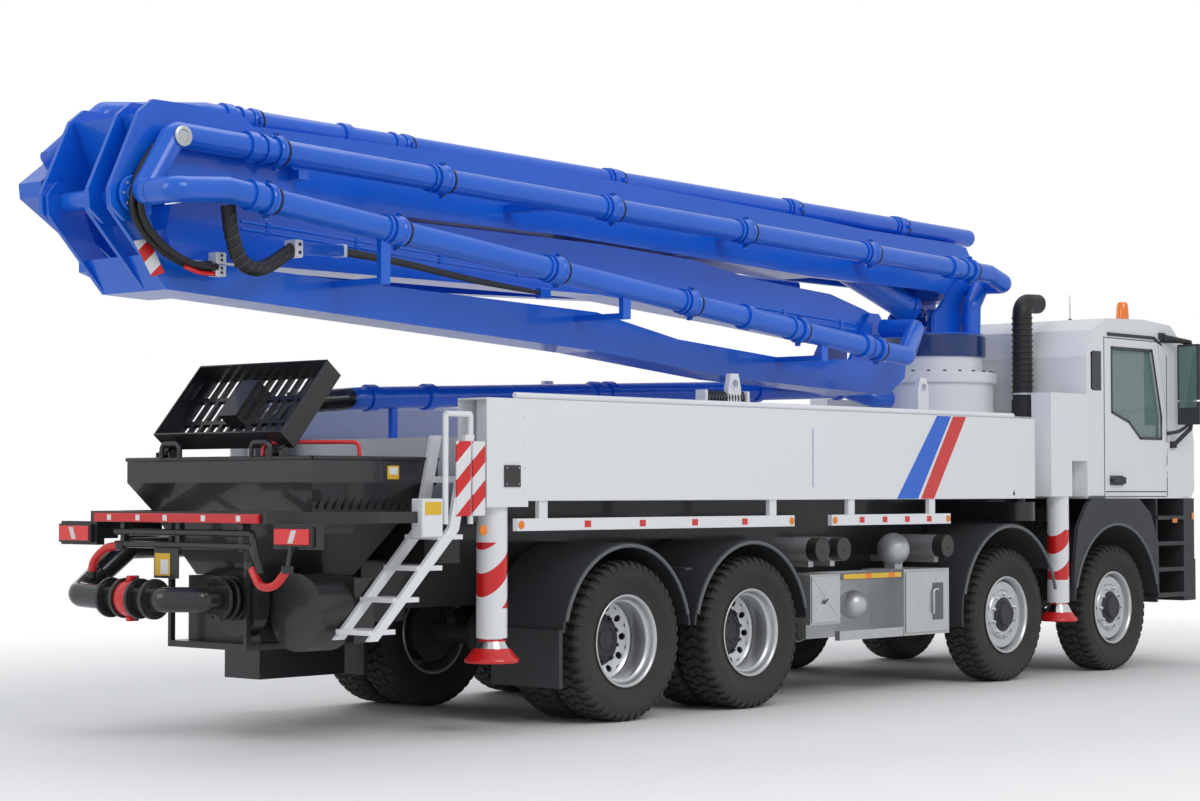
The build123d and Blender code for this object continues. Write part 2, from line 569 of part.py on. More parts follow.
# ---------------------------------------------------------------- hopper and pump
GRATE_HINGE = (-4440.0, 1795.0)
with BuildPart() as hopper:
    skirt_low = [(-4380, -780), (-3560, -780), (-3560, 780), (-4380, 780)]
    collar = [(-4490, -900), (-3420, -900), (-3420, 900), (-4490, 900)]
    throat = [(-4300, -420), (-3700, -420), (-3700, 420), (-4300, 420)]
    for wall, mode in ((0, Mode.ADD), (14, Mode.SUBTRACT)):
        low_plane = level_plane(1010 + wall)
        with BuildSketch(low_plane, mode=Mode.PRIVATE) as low_ring:
            add(grown(throat, -wall, low_plane))
        with BuildSketch(level_plane(1420), mode=Mode.PRIVATE) as middle_ring:
            add(grown(skirt_low, -wall, level_plane(1420)))
        with BuildSketch(level_plane(1600), mode=Mode.PRIVATE) as top_ring:
            add(grown(collar, -wall, level_plane(1600)))
        loft([low_ring.sketch, middle_ring.sketch], ruled=True, mode=mode)
        loft([middle_ring.sketch, top_ring.sketch], ruled=True, mode=mode)
        extrude(grown(collar, -wall, level_plane(1600)), amount=150, mode=mode)
    for _, side in SIDES:
        rod((GRATE_HINGE[0], side * 470, GRATE_HINGE[1]), (GRATE_HINGE[0], side * 610, GRATE_HINGE[1]), 22)
        for low in (470, 595):
            block((-4486, GRATE_HINGE[0] + 25), both(low, low + 15, side), (1690, GRATE_HINGE[1]))
save(hopper, "hopper")

with BuildPart() as pump_unit:
    block((-4420, -3560), (-349.7, 349.7), (600.3, 1009.7))
    rod((-4420, -230, 850), (-4520, -230, 850), 210)
    rod((-4400, -660, 800), (-4130, -660, 800), 240)
    block((-4130, -3960), (-890, -340), (610, 1009.7))
    for y in (-170, 170):
        rod((-3560, y, 890), (-1900, y, 960), 115)
    block((-3600, -3500), (-330, 330), (700, 1009.7))
    block((-1900, -1700), (-320, 320), (840, 1060))
    block((-3760, -3000), (RAIL_OUTER_Y + RUN_GAP, 780), (300, 720))
    block((-3560, -3260), (-300, 300), (RAIL_BOTTOM + 10, RAIL_TOP - 70))
save(pump_unit, "pump_unit")

PIPE_Z = 880.0
DECK_LINE = ((-3000.0, 300.0, 2180.0), (2500.0, 300.0, 2408.0))
with BuildPart() as delivery_pipe:
    tube_run([(-4520.3, -230, PIPE_Z), (-4800, -230, PIPE_Z), (-4940, -60, PIPE_Z), (-4940, 560, PIPE_Z),
              (-4940, 800, PIPE_Z + 10), (-4700, 930, 1000), (-4450, 930, 1180), (-3430, 880, 1190),
              (-3270, 880, 1350), (-3270, 880, 2040), (-3150, 720, 2160), *DECK_LINE], 60, PIPE_RADIUS)
    line_end = Vector(*DECK_LINE[1])
    line_run = (line_end - Vector(*DECK_LINE[0])).normalized()
    tube_run([tuple(line_end + line_run * RUN_GAP), tuple(line_end + line_run * 140), (2820, 120, 2330),
              (TURRET_X - COLUMN_RADIUS + 1, 120, 2330)], 60, PIPE_RADIUS)
    rod(tuple(line_end + line_run * RUN_GAP), tuple(line_end + line_run * 45), COUPLING_RADIUS)
    for x in (-4540, -4600, -4660):
        rod((x - 14, -230, PIPE_Z), (x + 14, -230, PIPE_Z), 118)
    for y in (40, 180, 330, 470):
        rod((-4940, y - 26, PIPE_Z), (-4940, y + 26, PIPE_Z), 108)
    couplings(*DECK_LINE, (0.02, 0.12, 0.44, 0.47, 0.8))
    for share in (0.06, 0.4, 0.72):
        saddle = Vector(*DECK_LINE[0]) + (Vector(*DECK_LINE[1]) - Vector(*DECK_LINE[0])) * share
        block((saddle.X - 25, saddle.X + 25), (saddle.Y - 20, saddle.Y + 20), (DECK_TOP + RUN_GAP, saddle.Z))
save(delivery_pipe, "delivery_pipe")

BAR_X = (-4810.0, -4740.0)
with BuildPart() as rear_frame:
    ledge = [(BAR_X[0], -860), (-4200, -1180), (-3420, -1180), (-3420, -1080), (-4230, -1060), (-4700, -800),
             (-4700, 800), (-4230, 1060), (-3420, 1060), (-3420, 1180), (-4200, 1180), (BAR_X[0], 860)]
    extrude(outline(level_plane(1350), ledge), amount=70)
    block((-3420, DECK_REAR_X - RUN_GAP), (-985, 780), (1350, 1420))
    block((-3420, ARM_REAR_X - 10), (-1180, -985), (1350, 1420))
    block((-3420, DECK_REAR_X - RUN_GAP), (-780, 780), (RAIL_TOP + RUN_GAP, 1350))
    for _, side in SIDES:
        block((-4760, -4700), both(860, 1240, side), (1200, 1352))
        block((-4701, -4560), both(900, 960, side), (1240, 1352))
        block((-4561, -4200), both(900, 960, side), (1290, 1352))
        block((-4560, -4525), both(352, 382, side), (560, 1351))
        block((-3640, RAIL_REAR_X - RUN_GAP), both(350, 425, side), (700, 1100))
    block((-4560, -3600), (-382, 382), (560, 600))
    for low in (1290, 1210):
        rod((-4790, -700, low), (-4790, 620, low), 22)
        rod((-4790, -700, low), (-4790, -780, 1050), 22)
    for y in (-600, 0, 550):
        block((-4790, -4750), (y - 15, y + 15), (1200, 1350))
    for _, side in SIDES:
        block((-4776, -4760.3), both(890, 1230, side), (1220, 1330))
save(rear_frame, "rear_frame")

with BuildPart() as ladder:
    for y in (-1215, -920):
        slab([(-4330, 640), (-4250, 640), (-3560, 1300), (-3420, 1900), (-3500, 1900), (-3640, 1320)],
             y - 15, y + 15)
    for x, z in ((-4200, 690), (-4000, 880), (-3800, 1070), (-3620, 1260)):
        block((x - 110, x + 110), (-1215, -920), (z - 15, z + 15))
    block((-3500, ARM_REAR_X - 10), (-1230, -905), (1600, 1640))
    block((-3500, DECK_REAR_X - RUN_GAP), (-980, -905), (1600, 1640))
    for x in (-3660, -3440):
        rod((x, -1210, 1340), (x, -1210, 2030), 19)
    rod((-3660, -1210, 2030), (-3440, -1210, 2030), 19)
save(ladder, "ladder")

GRATE_LENGTH = 600.0
GRATE_WIDTH = 1240.0
GRATE_THICKNESS = 30.0
GRATE_RIM = 150.0
with BuildPart() as hopper_grate:
    # the grate stands open at 50 degrees; the sketch's +X runs along it, away from the hinge
    lean = Plane(origin=(GRATE_HINGE[0], 0, GRATE_HINGE[1]), x_dir=(0.6428, 0, 0.766), z_dir=(-0.766, 0, 0.6428))
    middle = 50 + GRATE_LENGTH / 2
    with BuildSketch(lean, mode=Mode.PRIVATE) as tray:
        with Locations((middle, 0)):
            Rectangle(GRATE_LENGTH, GRATE_WIDTH)
        with Locations((middle, 0)):
            with GridLocations(GRATE_LENGTH / 3, GRATE_WIDTH / 13, 3, 12):
                Rectangle(GRATE_LENGTH / 3 - 32, GRATE_WIDTH / 13 - 28, mode=Mode.SUBTRACT)
    extrude(tray.sketch, amount=-GRATE_THICKNESS)
    with BuildSketch(lean.offset(-GRATE_THICKNESS), mode=Mode.PRIVATE) as rim:
        with Locations((middle, 0)):
            Rectangle(GRATE_LENGTH, GRATE_WIDTH)
            Rectangle(GRATE_LENGTH - 24, GRATE_WIDTH - 24, mode=Mode.SUBTRACT)
    extrude(rim.sketch, amount=GRATE_RIM)
    with BuildSketch(lean.offset(-10), mode=Mode.PRIVATE) as motor:
        with Locations((middle, 0)):
            Rectangle(300, 160)
    extrude(motor.sketch, amount=130)
    for _, side in SIDES:
        with BuildSketch(lean.offset(-GRATE_THICKNESS), mode=Mode.PRIVATE) as strap:
            with Locations((40, side * 540)):
                Rectangle(80, 60)
        extrude(strap.sketch, amount=GRATE_THICKNESS)
        rod((GRATE_HINGE[0], side * 500, GRATE_HINGE[1]), (GRATE_HINGE[0], side * 580, GRATE_HINGE[1]), 36)
        rod((GRATE_HINGE[0], side * 490, GRATE_HINGE[1]), (GRATE_HINGE[0], side * 590, GRATE_HINGE[1]),
            22 + PIN_GAP, Mode.SUBTRACT)
save(hopper_grate, "hopper_grate")

# ---------------------------------------------------------------- outrigger arms, beams and jacks
ARM_INNER_Y = ARM_OUTER_Y - ARM_WIDTH
ARM_BOTTOM = 1485.0
ARM_TOP = 2140.0
ARM_SHEET = 12.0
JACK_BORE = JACK_ROD_RADIUS + PIN_GAP
JACK_Y = 1120.0
TUBE_BOTTOM = 610.0
for name, side in SIDES:
    with BuildPart() as arm:
        block((ARM_REAR_X, ARM_PIVOT_X), both(ARM_INNER_Y, ARM_OUTER_Y, side), (ARM_BOTTOM, ARM_TOP))
        block((ARM_REAR_X - 1, ARM_PIVOT_X - 150), both(ARM_INNER_Y + ARM_SHEET, ARM_OUTER_Y - ARM_SHEET, side),
              (ARM_BOTTOM + ARM_SHEET, ARM_TOP - ARM_SHEET), Mode.SUBTRACT)
        rod((ARM_PIVOT_X, side * JACK_Y, ARM_BOTTOM), (ARM_PIVOT_X, side * JACK_Y, ARM_TOP), ARM_WIDTH / 2)
        rod((ARM_PIVOT_X, side * JACK_Y, ARM_BOTTOM - 1), (ARM_PIVOT_X, side * JACK_Y, ARM_TOP + 1),
            45 + PIN_GAP, Mode.SUBTRACT)
        block((ARM_REAR_X, -2950), both(ARM_INNER_Y + 1, ARM_OUTER_Y, side), (ARM_BOTTOM - 40, ARM_BOTTOM + 1))
        rod((REAR_JACK_X, side * JACK_Y, TUBE_BOTTOM), (REAR_JACK_X, side * JACK_Y, ARM_TOP - 6),
            JACK_TUBE_RADIUS)
        rod((REAR_JACK_X, side * JACK_Y, TUBE_BOTTOM - 1), (REAR_JACK_X, side * JACK_Y, ARM_TOP - 30),
            JACK_BORE, Mode.SUBTRACT)
        for span in ((-3040, -110), (350, 1920)):
            block(span, both(1200, 1235, side), (1290, 1370))
            for x in (span[0] + 250, span[1] - 250):
                block((x - 40, x + 40), both(1200, 1235, side), (1330, ARM_BOTTOM + 1))
    save(arm, f"rear_outrigger_{name}")
    with BuildPart() as jack:
        rod((REAR_JACK_X, side * JACK_Y, 560), (REAR_JACK_X, side * JACK_Y, 2050), JACK_ROD_RADIUS)
        with Locations((REAR_JACK_X, side * JACK_Y, 465)):
            Cone(JACK_FOOT_RADIUS, JACK_ROD_RADIUS + 14, 130, align=(Align.CENTER, Align.CENTER, Align.MIN))
            Cylinder(JACK_FOOT_RADIUS, 12, align=(Align.CENTER, Align.CENTER, Align.MAX))
    save(jack, f"rear_jack_{name}")

for name, side in SIDES:
    lane = BEAM_LANES[name]
    with BuildPart() as beam:
        block(lane, both(-1030, 1070, side), BEAM_Z)
        block((HOUSING_X[0], HOUSING_X[1]), both(1060, 1250, side), (1500, 2370))
        rod((FRONT_JACK_X, side * 1150, TUBE_BOTTOM), (FRONT_JACK_X, side * 1150, 2340), 92)
        block((3740, 3990), both(1060 - 1, 1250 + 1, side), (1490, 1800), Mode.SUBTRACT)
        block(lane, both(1020, 1065, side), BEAM_Z)
        block((3600, 3960), both(1061, 1100, side), BEAM_Z)
        rod((FRONT_JACK_X, side * 1150, TUBE_BOTTOM - 1), (FRONT_JACK_X, side * 1150, 2320), 70 + PIN_GAP,
            Mode.SUBTRACT)
    save(beam, f"front_outrigger_{name}")
    with BuildPart() as jack:
        rod((FRONT_JACK_X, side * 1150, 560), (FRONT_JACK_X, side * 1150, 2260), 70)
        with Locations((FRONT_JACK_X, side * 1150, 465)):
            Cone(150, 84, 130, align=(Align.CENTER, Align.CENTER, Align.MIN))
            Cylinder(150, 12, align=(Align.CENTER, Align.CENTER, Align.MAX))
    save(jack, f"front_jack_{name}")

# ---------------------------------------------------------------- turret and lift cylinder
LUG_Y = (75.0, 105.0)
with BuildPart() as turret:
    rod((TURRET_X, 0, RING_TOP), (TURRET_X, 0, BASE_TOP), RING_RADIUS)
    rod((TURRET_X, 0, RING_TOP - 1), (TURRET_X, 0, RING_TOP + 60), 155, Mode.SUBTRACT)
    foot = [(TURRET_X - 330, BASE_TOP - 5), (TURRET_X + 330, BASE_TOP - 5), (LUFF_PIN[0] + 150, LUFF_PIN[1] + 40),
            (LUFF_PIN[0] + 90, LUFF_PIN[1] + 140), (LUFF_PIN[0] - 90, LUFF_PIN[1] + 140),
            (LUFF_PIN[0] - 190, LUFF_PIN[1] + 20), (TURRET_X - 330, BASE_TOP + 150)]
    for _, side in SIDES:
        slab(foot, *both(CHEEK_Y, CHEEK_Y + CHEEK_WALL, side))
        lug = [(ROD_PIN[0] - 90, BASE_TOP - 5), (ROD_PIN[0] + 110, BASE_TOP - 5), (ROD_PIN[0] + 75, ROD_PIN[1] + 75),
               (ROD_PIN[0] - 75, ROD_PIN[1] + 75)]
        slab(lug, *both(*LUG_Y, side))
        cross_bar(ROD_PIN, *both(LUG_Y[1] - 1, CHEEK_Y + 1, side), 38)
        cross_bar(LUFF_PIN, *both(CHEEK_Y + CHEEK_WALL - 1, CHEEK_Y + CHEEK_WALL + 25, side), 95)
    cross_bar(LUFF_PIN, -CHEEK_Y - 5, CHEEK_Y + 5, LUFF_PIN_RADIUS)
    tube_run([(LUFF_PIN[0], -440, LUFF_PIN[1]), (LUFF_PIN[0], -352, LUFF_PIN[1]), (3610, -345, 3150),
              (3600, -345, BASE_TOP - 5)], 60, PIPE_RADIUS)
    block((3570, 3630), (-330, -CHEEK_Y - 10), (3000, 3060))
save(turret, "turret")

lift_run = Vector(ROD_PIN[0] - BARREL_PIN[0], 0, ROD_PIN[1] - BARREL_PIN[1])
lift_line = lift_run.normalized()


def on_lift(distance):
    """The point that far along the lift cylinder from the barrel's pin."""
    return tuple(Vector(BARREL_PIN[0], 0, BARREL_PIN[1]) + lift_line * distance)


BARREL_END = 1440.0
with BuildPart() as lift_barrel:
    rod(on_lift(100), on_lift(BARREL_END), BARREL_RADIUS)
    rod(on_lift(BARREL_END - 70), on_lift(BARREL_END), BARREL_RADIUS + 12)
    cross_bar(BARREL_PIN, -90, 90, 95)
    rod(on_lift(0), on_lift(130), 80)
    cross_bar(BARREL_PIN, -130, 130, 40 + PIN_GAP, Mode.SUBTRACT)
    rod(on_lift(220), on_lift(BARREL_END + 1), ROD_RADIUS + PIN_GAP, Mode.SUBTRACT)
save(lift_barrel, "lift_barrel")

with BuildPart() as lift_rod:
    rod(on_lift(240), on_lift(lift_run.length - 20), ROD_RADIUS)
    cross_bar(ROD_PIN, -LUG_Y[0] + 6, LUG_Y[0] - 6, 68)
save(lift_rod, "lift_rod")

# ---------------------------------------------------------------- boom sections
PIN_RADIUS = 60.0
BOSS_RADIUS = 110.0
PLATE = 32.0
LANE_4 = (255.0, 485.0)
LANE_5 = (525.0, 745.0)
LANE_6 = (785.0, 965.0)
HOOKS_1 = (-500.0, -295.0, 168.0)
HOOKS_2 = (-463.0, -258.0, 131.0)
PIPE_1_Y = -600.0
PIPE_2_Y = -900.0

with BuildPart() as boom_1:
    beam_1 = [(-5150, 3390), (-1500, 3380), (820, 3300), (1550, 3272), (3300, 3262), (3560, 3200),
              (LUFF_PIN[0] + 40, LUFF_PIN[1] - 140), (LUFF_PIN[0] + 140, LUFF_PIN[1] - 20),
              (LUFF_PIN[0] + 110, LUFF_PIN[1] + 110), (3300, 3660), (1550, 3745), (-2050, 3860),
              (-4300, 3850), (-5200, 3830)]
    slab(beam_1, -BOOM_1_HALF_WIDTH, BOOM_1_HALF_WIDTH)
    hook_1 = [(-5100, 3390), (-5360, 3400), (-5440, 3330), (-5400, 3190), (-5480, 3130), (-5600, 3130),
              (-5700, 3210), (KNUCKLE_12[0] - HOOK_REACH, 3330), (-5500, 3790), (-5400, 3870), (-5080, 3870), (-4700, 3840),
              (-4300, 3560), (-4300, 3400)]
    for low in HOOKS_1:
        slab(hook_1, low, low + PLATE)
        cross_bar(KNUCKLE_12, low, low + PLATE, BOSS_RADIUS + 20)
    slab([(-4900, 3400), (-5300, 3410), (-5480, 3780), (-5080, 3860), (-4700, 3830)], HOOKS_1[0] + 1,
         HOOKS_1[2] + PLATE)
    cross_bar(KNUCKLE_12, HOOKS_1[0] - 30, HOOKS_1[2] + PLATE + 5, PIN_RADIUS)
    # open channel from below for the lift cylinder
    block((BARREL_PIN[0] - 220, 3420), (-150, 150), (3000, 3640), Mode.SUBTRACT)
    cross_bar(BARREL_PIN, -151, 151, 40)
    cross_bar(LUFF_PIN, -BOOM_1_HALF_WIDTH - 1, BOOM_1_HALF_WIDTH + 1, LUFF_PIN_RADIUS + PIN_GAP, Mode.SUBTRACT)
    # pipeline on the near side
    tube_run([(KNUCKLE_12[0], -700, KNUCKLE_12[1]), (KNUCKLE_12[0], PIPE_1_Y, KNUCKLE_12[1]), (-5320, PIPE_1_Y, 3660), (-5000, PIPE_1_Y, 3650),
              (3480, PIPE_1_Y, 3400), (LUFF_PIN[0], PIPE_1_Y, LUFF_PIN[1] - 5),
              (LUFF_PIN[0], -445, LUFF_PIN[1])], 60, PIPE_RADIUS)
    couplings((-5000, PIPE_1_Y, 3650), (3480, PIPE_1_Y, 3400), (0.03, 0.22, 0.42, 0.60, 0.79, 0.93))
    for x, z in ((-4300, 3500), (-2050, 3500), (300, 3480), (2100, 3420)):
        block((x - 40, x + 40), (PIPE_1_Y, -BOOM_1_HALF_WIDTH + 1), (z - 15, z + 45))
save(boom_1, "boom_1")

with BuildPart() as boom_2:
    beam_2 = [(-5260, 2749), (-1400, 2540), (190, 2400), (1700, 2345), (2200, 2339), (2420, 2480),
              (2440, 2600), (1500, 2600), (1000, 2560), (-500, 2666), (-1400, 2818), (-4240, 2905),
              (-5000, 2930), (-5330, 2900)]
    slab(beam_2, HOOKS_2[0], -100)
    hook_2 = [(-5260, 2749), (-4900, 2735), (-4300, 2900), (-4900, 2930), (-5180, 2935), (-5340, 3060),
              (-5420, 3230), (-5440, 3380), (-5520, 3420), (-5620, 3410), (-5690, 3320), (-5680, 3200)]
    for low in HOOKS_2:
        slab(hook_2, low, low + PLATE)
    slab([(-5260, 2749), (-4900, 2735), (-4400, 2890), (-4900, 2928), (-5180, 2930), (-5400, 2950)],
         HOOKS_2[0], HOOKS_2[2] + PLATE)
    slab([(1500, 2400), (2200, 2339), (2420, 2480), (2440, 2600), (1900, 2600), (1500, 2560)],
         HOOKS_2[0], 190)
    fork = [(1950, 2590), (2440, 2590), (KNUCKLE_23[0] + 130, KNUCKLE_23[1] + 60),
            (KNUCKLE_23[0] + 60, KNUCKLE_23[1] + 130), (KNUCKLE_23[0] - 60, KNUCKLE_23[1] + 130),
            (KNUCKLE_23[0] - 140, KNUCKLE_23[1] + 20)]
    for span in ((-240, -208), (133, 165)):
        slab(fork, *span)
    cross_bar(KNUCKLE_23, -245, 170, PIN_RADIUS)
    for low in HOOKS_2:
        cross_bar(KNUCKLE_12, low - 1, low + PLATE + 1, PIN_RADIUS + PIN_GAP, Mode.SUBTRACT)
    tube_run([(KNUCKLE_12[0], -705, KNUCKLE_12[1]), (KNUCKLE_12[0], PIPE_2_Y, KNUCKLE_12[1]), (-5170, PIPE_2_Y, 3320), (1560, PIPE_2_Y, 2640),
              (1800, PIPE_2_Y, 2620), (2300, PIPE_2_Y + 250, 2870), (2310, -330, 2886)], 40, PIPE_RADIUS)
    couplings((-5170, PIPE_2_Y, 3320), (1560, PIPE_2_Y, 2640), (0.03, 0.2, 0.42, 0.63, 0.73, 0.95))
    for x, z in ((-3900, 2860), (-1600, 2760), (700, 2560)):
        block((x - 40, x + 40), (PIPE_2_Y, HOOKS_2[0] + 1), (z - 20, z + 20))
        block((x - 40, x + 40), (PIPE_2_Y - 20, PIPE_2_Y + 20), (z - 20, 3320 - 0.101 * (x + 5170)))
save(boom_2, "boom_2")

with BuildPart() as boom_3:
    beam_3 = [(KNUCKLE_34[0] - 90, KNUCKLE_34[1] - 60), (KNUCKLE_34[0], KNUCKLE_34[1] - 110), (-1070, 2975),
              (740, 2850), (1900, 2760), (2330, 2770), (2430, 2870), (2380, 3000), (2220, 3045), (1750, 3147),
              (740, 3206), (-10, 3303), (-1070, 3345), (-4700, 3365), (KNUCKLE_34[0] - 90, 3300),
              (KNUCKLE_34[0] - 130, KNUCKLE_34[1] + 60)]
    slab(beam_3, -200, 125)
    cross_bar(KNUCKLE_34, 120, 250, 75)
    cross_bar(KNUCKLE_34, 120, LANE_4[1] - 5, PIN_RADIUS)
    cross_bar(KNUCKLE_23, -201, 126, PIN_RADIUS + PIN_GAP, Mode.SUBTRACT)
save(boom_3, "boom_3")

with BuildPart() as boom_4:
    beam_4 = [(-5060, 2950), (-4830, 2960), (-4780, 3100), (-4700, 3400), (-4450, 3545),
              (KNUCKLE_45[0] - 60, KNUCKLE_45[1] - 100), (KNUCKLE_45[0] + 100, KNUCKLE_45[1] - 70),
              (KNUCKLE_45[0] + 125, KNUCKLE_45[1] + 20), (KNUCKLE_45[0] + 60, KNUCKLE_45[1] + 100),
              (KNUCKLE_45[0] - 160, KNUCKLE_45[1] + 125), (-3700, 3880), (-4700, 3860),
              (-5370, 3640), (-5650, 3420), (-5640, 3330)]
    slab(beam_4, *LANE_4)
    middle_4 = (LANE_4[0] + LANE_4[1]) / 2
    tube_run([(-5500, middle_4, 3560), (-5100, middle_4, 3900), (-4300, middle_4, 3990),
              (KNUCKLE_45[0], middle_4, 3860), (KNUCKLE_45[0] + 260, middle_4, 3855)], 60, PIPE_RADIUS)
    couplings((-4300, middle_4, 3990), (KNUCKLE_45[0], middle_4, 3860), (0.02, 0.14, 0.46, 0.72, 0.9))
    for x in (-3000, -500, 2000, 4000):
        block((x - 40, x + 40), (middle_4 - 30, middle_4 + 30), (3700, 3880))
    cross_bar(KNUCKLE_45, LANE_4[1] - 1, LANE_5[0] - 5, 75)
    cross_bar(KNUCKLE_45, LANE_4[1] - 1, LANE_5[1] - 5, PIN_RADIUS)
    cross_bar(KNUCKLE_34, LANE_4[0] - 1, LANE_4[1] + 1, PIN_RADIUS + PIN_GAP, Mode.SUBTRACT)
save(boom_4, "boom_4")

with BuildPart() as boom_5:
    beam_5 = [(KNUCKLE_56[0] - 80, KNUCKLE_56[1] - 70), (KNUCKLE_56[0] + 90, KNUCKLE_56[1] - 80), (-2500, 3420),
              (0, 3540), (KNUCKLE_45[0], KNUCKLE_45[1] - 100), (KNUCKLE_45[0] + 90, KNUCKLE_45[1] - 60),
              (KNUCKLE_45[0] + 100, KNUCKLE_45[1] + 40), (KNUCKLE_45[0] + 30, KNUCKLE_45[1] + 95), (0, 3780), (-2500, 3700), (KNUCKLE_56[0] - 60, KNUCKLE_56[1] + 110)]
    slab(beam_5, *LANE_5)
    middle_5 = (LANE_5[0] + LANE_5[1]) / 2
    tube_run([(-2400, middle_5, 3800), (-200, middle_5, 3885), (KNUCKLE_45[0] - 100, middle_5, 3795)], 60, 70)
    couplings((-200, middle_5, 3885), (KNUCKLE_45[0] - 100, middle_5, 3795), (0.1, 0.5, 0.9), 84)
    for x in (-1500, 1000, 3500):
        block((x - 40, x + 40), (middle_5 - 30, middle_5 + 30), (3600, 3820))
    cross_bar(KNUCKLE_56, LANE_5[1] - 1, LANE_6[0] - 5, 75)
    cross_bar(KNUCKLE_56, LANE_5[1] - 1, LANE_6[1] - 5, PIN_RADIUS)
    cross_bar(KNUCKLE_45, LANE_5[0] - 1, LANE_5[1] + 1, PIN_RADIUS + PIN_GAP, Mode.SUBTRACT)
save(boom_5, "boom_5")

with BuildPart() as boom_6:
    beam_6 = [(KNUCKLE_56[0] - 90, KNUCKLE_56[1] - 60), (KNUCKLE_56[0] + 40, KNUCKLE_56[1] - 100), (2600, 3120),
              (2600, 3220), (KNUCKLE_56[0] + 40, KNUCKLE_56[1] + 110), (KNUCKLE_56[0] - 90, KNUCKLE_56[1] + 60)]
    slab(beam_6, *LANE_6)
    middle_6 = (LANE_6[0] + LANE_6[1]) / 2
    tube_run([(-4500, middle_6, 3230), (2500, middle_6, 3320), (2680, middle_6, 3320)], 30, 66)
    for x in (-4000, -1500, 1000, 2300):
        block((x - 40, x + 40), (middle_6 - 30, middle_6 + 30), (3100, 3240))
    cross_bar(KNUCKLE_56, LANE_6[0] - 1, LANE_6[1] + 1, PIN_RADIUS + PIN_GAP, Mode.SUBTRACT)
save(boom_6, "boom_6")
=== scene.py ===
"""Look of the four-axle concrete pump truck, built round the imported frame.

Sizes in the tables below are millimetres in the truck's own layout: +X forward, +Y to the driver's
left, +Z up, the front axle 4500 ahead of the datum. place() turns them into the frame's metres.
"""
import math
import random
import bpy
import bmesh
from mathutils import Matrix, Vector


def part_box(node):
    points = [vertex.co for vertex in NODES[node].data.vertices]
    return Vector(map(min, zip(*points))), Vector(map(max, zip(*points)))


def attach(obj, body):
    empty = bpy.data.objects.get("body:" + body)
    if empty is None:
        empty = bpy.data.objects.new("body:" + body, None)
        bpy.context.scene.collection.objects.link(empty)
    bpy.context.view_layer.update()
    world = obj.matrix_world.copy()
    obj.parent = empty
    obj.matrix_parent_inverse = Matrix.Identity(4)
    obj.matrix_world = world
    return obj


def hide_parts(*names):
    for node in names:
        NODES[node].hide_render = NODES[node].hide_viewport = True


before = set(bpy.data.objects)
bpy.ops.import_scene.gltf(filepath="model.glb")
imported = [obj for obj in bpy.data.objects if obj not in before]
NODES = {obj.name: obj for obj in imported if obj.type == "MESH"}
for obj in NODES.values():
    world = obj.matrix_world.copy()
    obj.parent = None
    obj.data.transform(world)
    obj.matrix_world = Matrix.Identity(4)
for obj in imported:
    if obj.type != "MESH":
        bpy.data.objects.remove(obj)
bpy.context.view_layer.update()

random.seed(7)

# ------------------------ layout, in millimetres
AXLES = (4500.0, 2800.0, -600.0, -1950.0)
wheel_low, wheel_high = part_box("front_wheel_1_right")
DATUM_X = AXLES[0] / 1000 - (wheel_low.x + wheel_high.x) / 2
TYRE_RADIUS = 540.0
FRONT_TYRE_Y = 1062.0
TWIN_Y = 917.0
TWIN_PITCH = 350.0
SIDES = (("right", -1), ("left", 1))
CAB_FACE = 1210.5
PANEL_FACE = 1250
RAIL_FACE = 1236
BOX_FACE = 1201
REAR_LEG = (-3150, 1120)
FRONT_LEG = (3670, 1150)
FOOT_Z = 453
OUTLET_X, OUTLET_Z = -4940, 880
RIM_Z = 1750
INTAKE = (3945, -640)
COIL_Y, COIL_Z = -900, 2225
X, Y, Z = (1, 0, 0), (0, 1, 0), (0, 0, 1)
RIGHT = (0, -1, 0)


def place(x, y, z):
    """A point of the layout as a point of the frame, in metres."""
    return Vector((x / 1000 - DATUM_X, y / 1000, z / 1000))


# ------------------------ material nodes
class Maths:
    """Short spellings for the maths nodes of one material."""

    def __init__(self, tree):
        self.tree = tree

    def op(self, kind, *values):
        node = self.tree.nodes.new("ShaderNodeMath")
        node.operation = kind
        for socket, value in zip(node.inputs, values):
            if isinstance(value, (int, float)):
                socket.default_value = value
            else:
                self.tree.links.new(value, socket)
        return node.outputs[0]

    def between(self, value, low, high):
        """1 where low < value < high."""
        return self.op("MULTIPLY", self.op("GREATER_THAN", value, low), self.op("LESS_THAN", value, high))

    def both(self, *masks):
        out = masks[0]
        for mask in masks[1:]:
            out = self.op("MULTIPLY", out, mask)
        return out

    def any(self, *masks):
        out = masks[0]
        for mask in masks[1:]:
            out = self.op("MAXIMUM", out, mask)
        return out

    def mix(self, mask, first, second):
        node = self.tree.nodes.new("ShaderNodeMix")
        node.data_type = "RGBA"
        for key, value in (("Factor", mask), ("A", first), ("B", second)):
            kind = "VALUE" if key == "Factor" else "RGBA"
            socket = [s for s in node.inputs if s.name == key and s.type == kind][0]
            if isinstance(value, (tuple, list)):
                socket.default_value = (*value[:3], 1)
            elif isinstance(value, (int, float)):
                socket.default_value = value
            else:
                self.tree.links.new(value, socket)
        return [s for s in node.outputs if s.type == "RGBA"][0]


